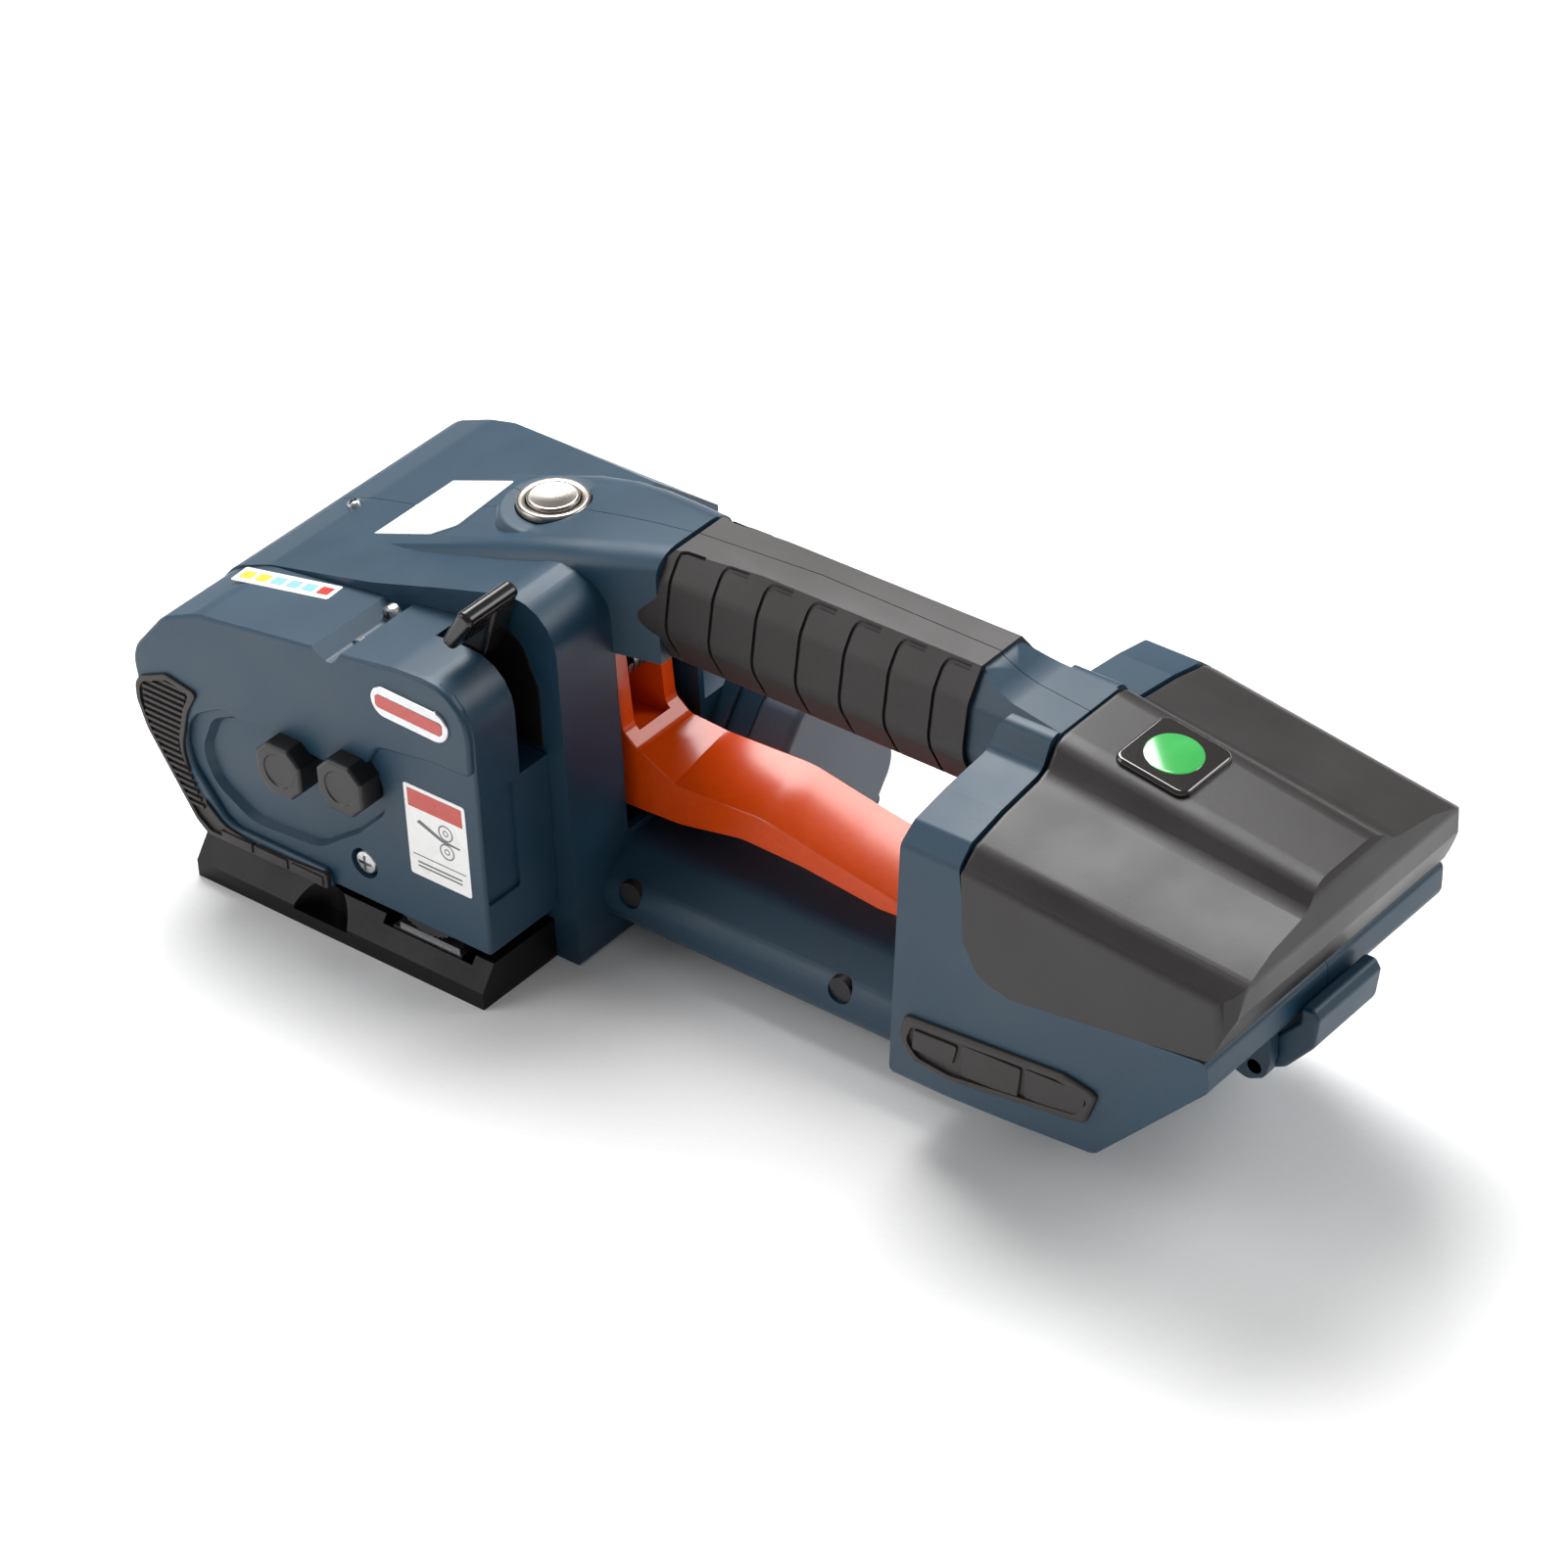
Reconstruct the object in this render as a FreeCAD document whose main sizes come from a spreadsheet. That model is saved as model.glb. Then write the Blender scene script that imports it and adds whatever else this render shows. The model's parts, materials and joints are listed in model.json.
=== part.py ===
import FreeCAD, Part
import Sketcher
import math
import os
import re

# Battery strapping tool. Origin: middle of the sole of the base plate. +X runs along the tool towards
# the battery, +Y away from the side where the strap goes in, +Z up. Millimetres throughout.

Vector = FreeCAD.Vector

SIZES = {
    # walls and clearances
    "wall": 2.5,
    "seat_gap": 0.3,
    "fit_gap": 0.05,
    # base plate
    "plate_length": 98,
    "plate_width": 62,
    "plate_top": 11.5,
    "plate_edge": 5,
    "plate_bevel": 5,
    "pocket_floor": 2,
    "scoop_radius": 10,
    # strap and tension wheel
    "wheel_centre": 28,
    "wheel_radius": 13,
    "wheel_width": 13,
    "wheel_gap": 0.4,
    "wheel_near": -27,
    "shaft_radius": 5,
    "bearing_radius": 10,
    "bearing_width": 6,
    # rocker below the tension wheel
    "rocker_centre": -4,
    "rocker_height": 22,
    "rocker_boss": 6.5,
    "rocker_pin": 4,
    "toothed_plate_thick": 1.5,
    # side cover and head
    "cover_near": -30.5,
    "cover_rear": 49,
    "cover_low": 16.2,
    "cover_top": 99.5,
    "cover_corner": 22,
    "slot_near": -13.4,
    "head_near": -3,
    "head_far": 81,
    "head_rear": 57,
    "head_low": 0,
    "head_top": 106.5,
    "head_corner": 14,
    "head_slope_far": 86,
    "step_along": 38,
    "step_across": 50,
    "step_height": 52,
    "nose_tip": 65,
    "nose_height": 64,
    "nose_round": 9,
    # handle
    "grip_middle": 35,
    "grip_half": 15,
    "grip_top": 116,
    "grip_low": 84,
    "grip_start": 66,
    "grip_end": 164,
    "grip_skin": 1.6,
    "root_round": 7,
    # start button
    "button_across": 24.4,
    "button_top": 108,
    "button_radius": 9.5,
    "button_barrel": 8,
    "button_cap_radius": 6.8,
    # beam
    "beam_near": 7.5,
    "beam_far": 44,
    "beam_low": 7,
    "beam_top": 28,
    # dock and battery
    "dock_front": 160.5,
    "dock_seam": 189,
    "dock_rear": 257,
    "dock_near": -15,
    "dock_low": 17,
    "dock_floor": 60.3,
    "seam_rise": 6.7,
    "crest_top": 110,
    "crest_half": 14,
    "valley_half": 18,
    "valley_top": 103,
    "shoulder_half": 33.6,
    "shoulder_top": 101,
    "edge_half": 45,
    "edge_top": 98.5,
    "side_top": 94,
    "battery_rear": 264,
    "latch_half": 13,
    "latch_pin": 2,
    "ear_thick": 3.2,
    "cell_radius": 9,
    "cell_length": 65,
    # motor
    "motor_across": 70,
    "motor_front": 46.5,
    "motor_rear": 79.5,
    "motor_radius": 18,
    "rotor_radius": 10.5,
    "motor_shaft": 2.5,
    "motor_cover_radius": 24,
    "motor_cover_rear": 70,
    "motor_cap_rear": 82,
    # gears and belt
    "pinion_radius": 6,
    "bevel_radius": 14,
    "gear_face": 4.5,
    "gearhead_radius": 16,
    "pulley_plane": -40,
    "belt_width": 6,
    "drive_pulley": 6.3,
    "eccentric_pulley": 5,
    "eccentric_across": 13.5,
    "eccentric_throw": 1,
    "eccentric_radius": 5,
    # release lever
    "release_pivot": 46,
    "release_height": 72,
    "release_near": 23,
    "release_far": 44,
    "release_end": 155,
    # weld lever
    "weld_pivot": 22,
    "weld_height": 66,
    "weld_shaft": 4,
    "weld_blade": 9,
    # weld shoe, arm and cutter
    "arm_pivot": -46,
    "arm_height": 37,
    "shoe_front": -38,
    "shoe_rear": -19,
    "shoe_low": 13.2,
    "shoe_high": 17,
    # knobs
    "knob_radius": 7.5,
    "knob_front": -36,
    "recess_floor": -28,
    "tension_knob_along": -10,
    "tension_knob_height": 51.5,
    "time_knob_along": 11,
    "time_knob_height": 55,
    # screws
    "lead_radius": 1.8,
    "screw_radius": 1.9,
    "screw_head": 3.4,
}

PLATE_HALF = "(plate_length / 2)"
WHEEL_HEIGHT = "(plate_top + wheel_gap + wheel_radius)"
COVER_INNER = "(cover_near + wall)"
HEAD_INNER = "(head_near + wall)"
FRAME_FAR = "(head_near + wall + bearing_width)"
DOCK_FAR = "(2 * grip_middle - dock_near)"

doc = FreeCAD.newDocument("StrappingTool")
sheet = doc.addObject("Spreadsheet::Sheet", "Sizes")
for row, (alias, number) in enumerate(SIZES.items(), start=1):
    sheet.set("A%d" % row, alias)
    sheet.set("B%d" % row, str(number))
    sheet.setAlias("B%d" % row, alias)
doc.recompute()

NODES = {}
TURNS = {
    "X": FreeCAD.Rotation(Vector(0, 1, 0), 90),
    "Y": FreeCAD.Rotation(Vector(1, 0, 0), -90),
    "Z": FreeCAD.Rotation(),
}
PLANES = {
    "XZ": (FreeCAD.Rotation(Vector(1, 0, 0), 90), Vector(0, 1, 0), "y"),
    "YZ": (FreeCAD.Rotation(Vector(1, 1, 1), 120), Vector(1, 0, 0), "x"),
    "XY": (FreeCAD.Rotation(), Vector(0, 0, 1), "z"),
}
BODY_PLANES = {"XZ": ("XZ_Plane", -1), "YZ": ("YZ_Plane", 1), "XY": ("XY_Plane", 1)}


def formula(text):
    """An expression of the document, with every size name pointing at its cell."""
    return re.sub(r"[a-z_]+",
                  lambda word: "Sizes." + word.group() if word.group() in SIZES else word.group(),
                  str(text))


def bind(item, target, text):
    item.setExpression(target, formula(text))


def place(item, x, y, z):
    bind(item, "Placement.Base.x", x)
    bind(item, "Placement.Base.y", y)
    bind(item, "Placement.Base.z", z)
    return item


def add(kind, name):
    return doc.addObject(kind, name)


def block(name, x, y, z):
    """A box between a low and a high formula along each axis."""
    item = add("Part::Box", name)
    bind(item, "Length", "(%s) - (%s)" % (x[1], x[0]))
    bind(item, "Width", "(%s) - (%s)" % (y[1], y[0]))
    bind(item, "Height", "(%s) - (%s)" % (z[1], z[0]))
    return place(item, x[0], y[0], z[0])


def rod(name, axis, start, radius, length):
    """A cylinder from its start point along an axis."""
    item = add("Part::Cylinder", name)
    item.Placement.Rotation = TURNS[axis]
    bind(item, "Radius", radius)
    bind(item, "Height", length)
    return place(item, *start)


def cone(name, axis, start, low_radius, high_radius, length):
    item = add("Part::Cone", name)
    item.Placement.Rotation = TURNS[axis]
    bind(item, "Radius1", low_radius)
    bind(item, "Radius2", high_radius)
    bind(item, "Height", length)
    return place(item, *start)


def draw_loop(sketch, corners):
    """A closed loop of lines whose corners are fixed by formulas of the size sheet."""
    count = len(corners)
    ring = [Vector(50 * math.cos(2 * math.pi * k / count), 50 * math.sin(2 * math.pi * k / count), 0)
            for k in range(count)]
    lines = [Part.LineSegment(ring[k], ring[(k + 1) % count]) for k in range(count)]
    sketch.addGeometry(lines, False)
    joins = [Sketcher.Constraint("Coincident", k, 2, (k + 1) % count, 1) for k in range(count)]
    sketch.addConstraint(joins)
    for k, corner in enumerate(corners):
        for direction, text, start in (("DistanceX", corner[0], ring[k].x),
                                       ("DistanceY", corner[1], ring[k].y)):
            index = sketch.addConstraint(Sketcher.Constraint(direction, -1, 1, k, 1, start))
            bind(sketch, "Constraints[%d]" % index, text)


def outline(name, plane, corners, low):
    """A sketch of one closed loop, parallel to a main plane at the height low."""
    turn, _, letter = PLANES[plane]
    sketch = add("Sketcher::SketchObject", name)
    sketch.Placement.Rotation = turn
    bind(sketch, "Placement.Base." + letter, low)
    draw_loop(sketch, corners)
    return sketch


def extrude(name, base, plane, length):
    item = add("Part::Extrusion", name)
    item.Base = base
    item.DirMode = "Custom"
    item.Dir = PLANES[plane][1]
    item.Solid = True
    bind(item, "LengthFwd", length)
    return item


def slab(name, plane, corners, low, high):
    """An outline pulled from low to high along the normal of its plane."""
    sketch = outline(name + "_outline", plane, corners, low)
    return extrude(name, sketch, plane, "(%s) - (%s)" % (high, low))


def pad(name, plane, corners, low, high, round_radius=None, chooser=None):
    """A body made of one padded sketch, with an optional fillet on chosen edges."""
    body = add("PartDesign::Body", name)
    role, sense = BODY_PLANES[plane]
    support = [item for item in body.Origin.OriginFeatures if item.Role == role][0]
    sketch = body.newObject("Sketcher::SketchObject", name + "_sketch")
    sketch.AttachmentSupport = [(support, "")]
    sketch.MapMode = "FlatFace"
    bind(sketch, "AttachmentOffset.Base.z", "%d * (%s)" % (sense, low))
    draw_loop(sketch, corners)
    feature = body.newObject("PartDesign::Pad", name + "_pad")
    feature.Profile = sketch
    feature.Reversed = sense < 0
    bind(feature, "Length", "(%s) - (%s)" % (high, low))
    body.Tip = feature
    doc.recompute()
    if round_radius:
        edges = ["Edge%d" % (k + 1) for k, edge in enumerate(feature.Shape.Edges) if chooser(edge)]
        rounding = body.newObject("PartDesign::Fillet", name + "_rounding")
        rounding.Base = (feature, edges)
        bind(rounding, "Radius", round_radius)
        body.Tip = rounding
        doc.recompute()
    return body


def fuse(name, *parts):
    item = add("Part::MultiFuse", name)
    item.Shapes = list(parts)
    return item


def cut(name, base, *tools):
    item = add("Part::Cut", name)
    item.Base = base
    item.Tool = tools[0] if len(tools) == 1 else fuse(name + "_tools", *tools)
    return item


def overlap(name, base, tool):
    item = add("Part::Common", name)
    item.Base = base
    item.Tool = tool
    return item


def soften(name, base, chooser, radius):
    """Rounds the edges of a solid that the chooser picks."""
    doc.recompute()
    item = add("Part::Fillet", name)
    item.Base = base
    amount = size(radius)
    item.Edges = [(k + 1, amount, amount) for k, edge in enumerate(base.Shape.Edges) if chooser(edge)]
    return item


def size(name):
    return float(sheet.get(name)) if isinstance(name, str) else float(name)


def node(label, item):
    """Registers a finished sub-part under the name of its file."""
    item.Label = label
    NODES[label] = item
    return item


def group(name, shapes):
    """Several equal solids kept as one sub-part."""
    item = add("Part::Compound", name)
    item.Links = shapes
    return item


# ---------------------------------------------------------------- screws

SCREWS = {
    "beam": ("Y", [(65, "beam_near + 3", 19), (132, "beam_near + 3", 19)], "beam_far - beam_near - 6", 1),
    "dock": ("Y", [("dock_seam - 6", DOCK_FAR + " - 8", 52),
                   ("dock_seam - 7.5", DOCK_FAR + " - 6", 91)], 56, -1),
    "head": ("Y", [(-12, "head_far - 4", 68), (-48, "head_far - 4", 56)], 50, -1),
    "cover": ("Y", [(8, "cover_near + 12", 86), (10, "cover_near + 5", 27.6)], 22, 1),
    "plate": ("Z", [(-37.3, 2.5, 3.5), (45, 2.5, 3.5), (2, 24, 3.5), (44, 24, 3.5)], 10.2, 1),
}
HEAD_HIGH = 2.2
AXES = {"X": (1, 0, 0), "Y": (0, 1, 0), "Z": (0, 0, 1)}


def shifted(seat, axis, amount):
    """A seat point moved along an axis by a formula."""
    return [("%s + (%s)" % (text, amount)) if part else text for text, part in zip(seat, AXES[axis])]


def screw(name, axis, seat, length, sense, radius="screw_radius", head="screw_head"):
    """A pan-head screw: its shank points along sense from the seat, its head sits on the other side."""
    shank_start = seat if sense > 0 else shifted(seat, axis, -length)
    head_start = shifted(seat, axis, -HEAD_HIGH) if sense > 0 else seat
    shank = rod(name + "_shank", axis, shank_start, radius, length)
    top = rod(name + "_head", axis, head_start, head, HEAD_HIGH)
    return fuse(name, shank, top)


def screw_room(name, axis, seat, length, sense, radius="screw_radius", head="screw_head", depth=14):
    """The hole that a screw needs: its shank's bore and an open counterbore above its seat."""
    shank_start = seat if sense > 0 else shifted(seat, axis, -length)
    well_start = shifted(seat, axis, -depth) if sense > 0 else seat
    shank = rod(name + "_bore", axis, shank_start, radius, length)
    well = rod(name + "_well", axis, well_start, head + " + 0.2", depth)
    return fuse(name, shank, well)


def screw_rooms(word, tag):
    axis, seats, length, sense = SCREWS[word]
    return [screw_room("%s_room_%s_%d" % (word, tag, k), axis, seat, length, sense)
            for k, seat in enumerate(seats)]


def screw_bosses(word, tag, start, length):
    """Posts round a row of screws, from a start plane along Y."""
    return [rod("%s_boss_%s_%d" % (word, tag, k), "Y", (seat[0], start, seat[2]), "screw_radius + 2.4",
                length)
            for k, seat in enumerate(SCREWS[word][1])]


def build_screws():
    for label, words in (("housing_screws", ("beam", "dock", "head")), ("cover_screws", ("cover",)),
                         ("plate_screws", ("plate",))):
        solids = []
        for word in words:
            axis, seats, length, sense = SCREWS[word]
            solids += [screw("%s_screw_%d" % (word, k), axis, seat, length, sense) for k,
                       seat in enumerate(seats)]
        node(label, group(label + "_set", solids))
    node("motor_screws", group("motor_screw_set", [
        screw("motor_screw_%d" % k, "X", seat, 18, -1, "screw_radius - 0.5", "screw_head - 1.2")
        for k, seat in enumerate(motor_seats())]))


def motor_seats():
    """Four seats on the end cap, between the motor and the rim."""
    reach = "(motor_radius + motor_cover_radius + 0.6) / 2 * 0.7071"
    return [("motor_cap_rear - 2.4", "motor_across + %d * %s" % (a, reach),
             "%s + %d * %s" % (WHEEL_HEIGHT, b, reach))
            for a in (-1, 1) for b in (-1, 1)]


# ---------------------------------------------------------------- base and frame

def base_plate():
    half = "plate_width / 2"
    section = [("-" + half, 0), (half, 0), (half, "plate_top"), ("-%s + plate_bevel" % half, "plate_top"),
               ("-" + half, "plate_edge")]
    body = pad("plate_bar", "YZ", section, "-" + PLATE_HALF, PLATE_HALF)
    pocket = block("plate_pocket", ("wheel_centre - 15", "wheel_centre + 15"),
                   ("wheel_near - 0.6", "head_near - 2"), ("pocket_floor", "plate_top + 1"))
    arm_slot = block("plate_arm_slot", ("rocker_centre + 2", "wheel_centre"),
                     ("slot_near + 0.8", "head_near - 2"), ("pocket_floor", "plate_top + 1"))
    scoop = rod("plate_scoop", "Z", ("-6", "-%s - 4" % half, "plate_edge - 1"), "scoop_radius",
                "plate_top")
    node("base_plate", cut("base_plate_cut", body, pocket, arm_slot, scoop, *screw_rooms("plate", "sole")))


def gearbox_frame():
    corners = [(-40, "plate_top"), (50, "plate_top"), (50, 52), (34, 74), (12, 74), (-6, 52), (-40, 46)]
    wall_plate = pad("frame_wall", "XZ", corners, HEAD_INNER, FRAME_FAR)
    foot = block("frame_foot", (-14, 50), (FRAME_FAR + " - 1", 32), ("plate_top", "plate_top + 2.4"))
    bracket = block("frame_bracket", ("wheel_centre - 12", "wheel_centre + 12"), (26, 32),
                    ("plate_top", WHEEL_HEIGHT + " + 13"))
    case = block("frame_case", (-31, 9), (27, 62), ("plate_top", 60))
    post = block("frame_post", ("release_pivot - 4", "release_pivot + 4"), (14.6, 18),
                 ("plate_top", "release_height + 5"))
    bridge = block("frame_bridge", (-31, -11), (FRAME_FAR + " - 1", 28), (38, 46))
    post_bore = rod("frame_post_bore", "Y", ("release_pivot", 14, "release_height"), 3, 5)
    wheel_bore = rod("frame_wheel_bore", "Y", ("wheel_centre", HEAD_INNER + " - 1", WHEEL_HEIGHT),
                     "bearing_radius", 40)
    rocker_bore = rod("frame_rocker_bore", "Y", ("rocker_centre", HEAD_INNER + " - 1", "rocker_height"),
                      "rocker_pin + fit_gap", 20)
    lever_bore = rod("frame_lever_bore", "Y", ("weld_pivot", HEAD_INNER + " - 1", "weld_height"),
                     "weld_shaft + fit_gap", 20)
    arm_window = block("frame_rod_window", ("shoe_front + 3.5", "shoe_rear - 1"),
                       (HEAD_INNER + " - 1", FRAME_FAR + " + 1"), (14.5, 36))
    node("gearbox_frame", cut("frame_cut",
                              fuse("frame_solid", wall_plate, foot, bracket, post, case, bridge),
                              wheel_bore, rocker_bore, lever_bore, arm_window, post_bore,
                              *screw_rooms("plate", "frame")))


# ---------------------------------------------------------------- housing

def nose_points(far_low):
    """The front of the head, from the top of the nose down and back under it."""
    return [(-39, 84.5), (-52, 79.5), ("-nose_tip", "nose_height"), (-62, 41.5), (-47, 18.2),
            (-43.5, far_low)]


def cover_corners():
    return [("cover_rear", "cover_low"), ("cover_rear", "cover_top"), (28, 96.2), (20, 94.5), (8, 91.5)] \
        + nose_points("cover_low")


def head_corners(low):
    return [("head_rear", low), ("head_rear", "head_top"), (42, "head_top"), (20, 100), (-4, 92.5)] \
        + nose_points(low)


def hollow_corners(top, low):
    """The inside of the head: the outline drawn in by one wall."""
    return [("head_rear - wall", low), ("head_rear - wall", top + " - wall - 8"),
            ("head_rear - wall - 10", top + " - wall"), (42, top + " - wall"), (20, "100 - wall"),
            (-4, "92.3 - wall"), (-38.5, "84 - wall"), (-50.5, "78.5 - wall"),
            ("-nose_tip + wall + 1", "nose_height"), (-59, 42), (-44.5, 19), (-41, low)]


def is_corner(x, z, reach):
    """Chooses straight cross edges near a point of the side view."""
    def choose(edge):
        if edge.Curve.TypeId != "Part::GeomLine" or abs(abs(edge.Curve.Direction.y) - 1) > 1e-6:
            return False
        return math.hypot(edge.CenterOfMass.x - x, edge.CenterOfMass.z - z) < reach
    return choose


def side_cover():
    outer = pad("cover_body", "XZ", cover_corners(), "cover_near", "head_near", "cover_corner",
                is_corner(size("cover_rear"), size("cover_top"), 1))
    soft = soften("cover_soft", outer, is_corner(-size("nose_tip"), size("nose_height"), 16), "nose_round")
    inner_corners = [("cover_rear - wall", "cover_low - 1"), ("cover_rear - wall", "cover_top - 12"),
                     ("cover_rear - 12", "cover_top - wall - 1.5"), (20, 91.5), (8, 88.5), (-38.5, 81.5),
                     (-50.5, 76), ("-nose_tip + wall + 1", "nose_height"), (-59, 42), (-44.5, 19),
                     (-41, "cover_low - 1")]
    deep = slab("cover_hollow", "XZ", inner_corners, COVER_INNER, "slot_near - wall")
    front_corners = [(15, "cover_low - 1"), (15, 89.5), (8, 88.5), (-38.5, 81.5), (-50.5, 76),
                     ("-nose_tip + wall + 1", "nose_height"), (-59, 42), (-44.5, 19), (-41,
                                                                                       "cover_low - 1")]
    front = slab("cover_front_hollow", "XZ", front_corners, "slot_near - wall - 1", "head_near + 1")
    low_room = block("cover_low_room", (14, "cover_rear - wall"),
                     ("slot_near - wall - 1", "head_near + 1"),
                     ("cover_low - 1", "weld_height - 5"))
    slot = slab("cover_lever_slot", "XZ", [(19, 64), ("cover_rear + 5", 64), ("cover_rear + 5", 110),
                                           (27, 110), (27, 92), (19, 78)], "slot_near", "head_near + 1")
    hub_room = rod("cover_hub_room", "Y", ("weld_pivot", "slot_near", "weld_height"), 11, 12)
    recess = fuse("cover_recess", *[
        rod("cover_recess_" + word, "Y", (word + "_knob_along", "cover_near - 1", word + "_knob_height"),
            "knob_radius + 4", "recess_floor - cover_near + 1") for word in ("tension", "time")])
    bores = [rod("cover_bore_" + word, "Y", (word + "_knob_along", "cover_near", word + "_knob_height"),
                 3.4, 8) for word in ("tension", "time")]
    backing = fuse("cover_backing", *[
        rod("cover_backing_" + word, "Y", (word + "_knob_along", COVER_INNER, word + "_knob_height"),
            "knob_radius + 6", "wall - 0.5") for word in ("tension", "time")])
    shaft_bore = rod("cover_shaft_bore", "Y", ("weld_pivot", "slot_near - wall - 1", "weld_height"),
                     "weld_shaft + fit_gap", 6)
    shell = cut("cover_shell", soft, deep, front, low_room, slot, hub_room)
    posts = screw_bosses("cover", "shell", "cover_near + 1", "head_near - cover_near - 1")
    joined = fuse("cover_joined", shell, backing, *posts)
    node("side_cover", cut("cover_cut", joined, recess, shaft_bore, *bores,
                           *screw_rooms("cover", "shell")))


def dock_section(inset, low):
    """Cross-section of the dock and battery, drawn in by an inset."""
    half = [("crest_half", "crest_top"), ("valley_half", "valley_top"), ("shoulder_half", "shoulder_top"),
            ("edge_half", "edge_top"), ("(grip_middle - dock_near)", "side_top")]
    right = [("grip_middle + %s - %s" % (y, inset), "%s - %s" % (z, inset)) for y, z in half]
    left = [("grip_middle - %s + %s" % (y, inset), "%s - %s" % (z, inset)) for y, z in reversed(half)]
    return [(DOCK_FAR + " - %s - 6" % inset, low)] + right[::-1] + left[::-1] \
        + [("dock_near + %s + 6" % inset, low)]


def dock_profile(inset):
    front = "dock_front + %s" % inset
    return [(front, "dock_low + %s" % inset),
            ("dock_front + 14 + %s" % inset, "crest_top + 1 - 2 * %s" % inset),
            ("dock_seam", "crest_top + 1 - 2 * %s" % inset), ("dock_seam", "dock_floor + 13"),
            ("dock_seam + 4", "dock_floor + 4"), ("dock_seam + 13", "dock_floor + 1.2"),
            ("dock_rear", "dock_floor + seam_rise"), ("dock_rear - %s" % inset, "dock_floor - 2"),
            ("dock_seam + 33 - %s" % inset, "dock_low + 5 + %s" % inset)]


def long_top_edge(edge):
    """Chooses the upper outline edges on the two faces of the handle root."""
    ends = edge.BoundBox
    return ends.YLength < 1e-3 and edge.CenterOfMass.z > 100 and ends.XLength > 3


def housing_solid():
    """The outer form of both housing halves before they are split."""
    head = pad("head_body", "XZ", head_corners("head_low"), "head_near", "head_far", "head_corner",
               is_corner(size("head_rear"), size("head_top"), 1))
    head = soften("head_soft", head, is_corner(-size("nose_tip"), size("nose_height"), 16), "nose_round")
    slope = slab("head_far_slope", "YZ", [("head_far - 22", 112), ("head_far - 22", 104),
                                          ("head_far + 1", "head_slope_far"), ("head_far + 1",
                                                                               112)], -70, 70)
    step = block("head_far_step", ("step_along", 70), ("step_across", "head_far + 1"),
                 ("step_height", 120))
    boss = cone("button_boss", "Z", ("button_across", "grip_middle", 88), 22, 15, "button_top - 2 - 88")
    root_corners = [(20, 80), (20, 102), (44, 109), ("grip_start + 3", "grip_top - 2.4"),
                    ("grip_start + 3", "grip_low - 2"), (57, 76)]
    root = pad("handle_root", "XZ", root_corners, "grip_middle - grip_half - 2",
               "grip_middle + grip_half + 2",
               "root_round", long_top_edge)
    bar_section = [("grip_middle - grip_half + 3", "grip_low"),
                   ("grip_middle + grip_half - 3", "grip_low"),
                   ("grip_middle + grip_half", "grip_low + 9"), ("grip_middle + grip_half - 1",
                                                                 "grip_top - 10"),
                   ("grip_middle + grip_half - 5", "grip_top"), ("grip_middle - grip_half + 5",
                                                                 "grip_top"),
                   ("grip_middle - grip_half + 1", "grip_top - 10"), ("grip_middle - grip_half",
                                                                      "grip_low + 9")]
    bar = slab("handle_bar", "YZ", bar_section, "head_rear - 2", "dock_seam")
    handle_top = slab("handle_limit", "XZ", [("head_rear - 3", 60), ("dock_seam + 1", 60),
                                             ("dock_seam", "crest_top"), (172, "crest_top + 2"),
                                             ("grip_end", "grip_top"), (110, "grip_top + 1"),
                                             ("head_rear - 3", "head_top + 4")], -20, 90)
    beam_section = [("beam_near + 4", "beam_low"), ("beam_far - 4", "beam_low"),
                    ("beam_far", "beam_low + 5"),
                    ("beam_far", "beam_top - 7"), ("beam_far - 8", "beam_top"), ("beam_near + 12",
                                                                                 "beam_top"),
                    ("beam_near", "beam_top - 8"), ("beam_near", "beam_low + 5")]
    beam = slab("beam_bar", "YZ", beam_section, "head_rear - 2", "dock_front + 6")
    dock = overlap("dock_form", slab("dock_side_view", "XZ", dock_profile("0"), "dock_near", DOCK_FAR),
                   slab("dock_end_view", "YZ", dock_section("0", "dock_low"), 150, 270))
    ears = [slab("latch_ear_%s" % word, "XZ",
                 [("dock_rear - 18", "dock_floor - 20"), ("dock_rear - 11", "dock_floor - 22.5"),
                                               ("dock_rear - 6", "dock_floor - 20"), ("dock_rear - 4.5",
                                                                                      "dock_floor - 15"),
                                               ("dock_rear - 4.5", "dock_floor - 5"), ("dock_rear - 18",
                                                                                       "dock_floor - 15")],
                 low, high) for word, low, high in (
                     ("near", "grip_middle - latch_half - seat_gap - ear_thick",
                      "grip_middle - latch_half - seat_gap"),
                     ("far", "grip_middle + latch_half + seat_gap",
                      "grip_middle + latch_half + seat_gap + ear_thick"))]
    head_part = fuse("head_joined", cut("head_trimmed", head, slope, step), boss, root)
    return fuse("housing_outer", head_part, overlap("handle_form", bar, handle_top), beam, dock, *ears)


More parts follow.
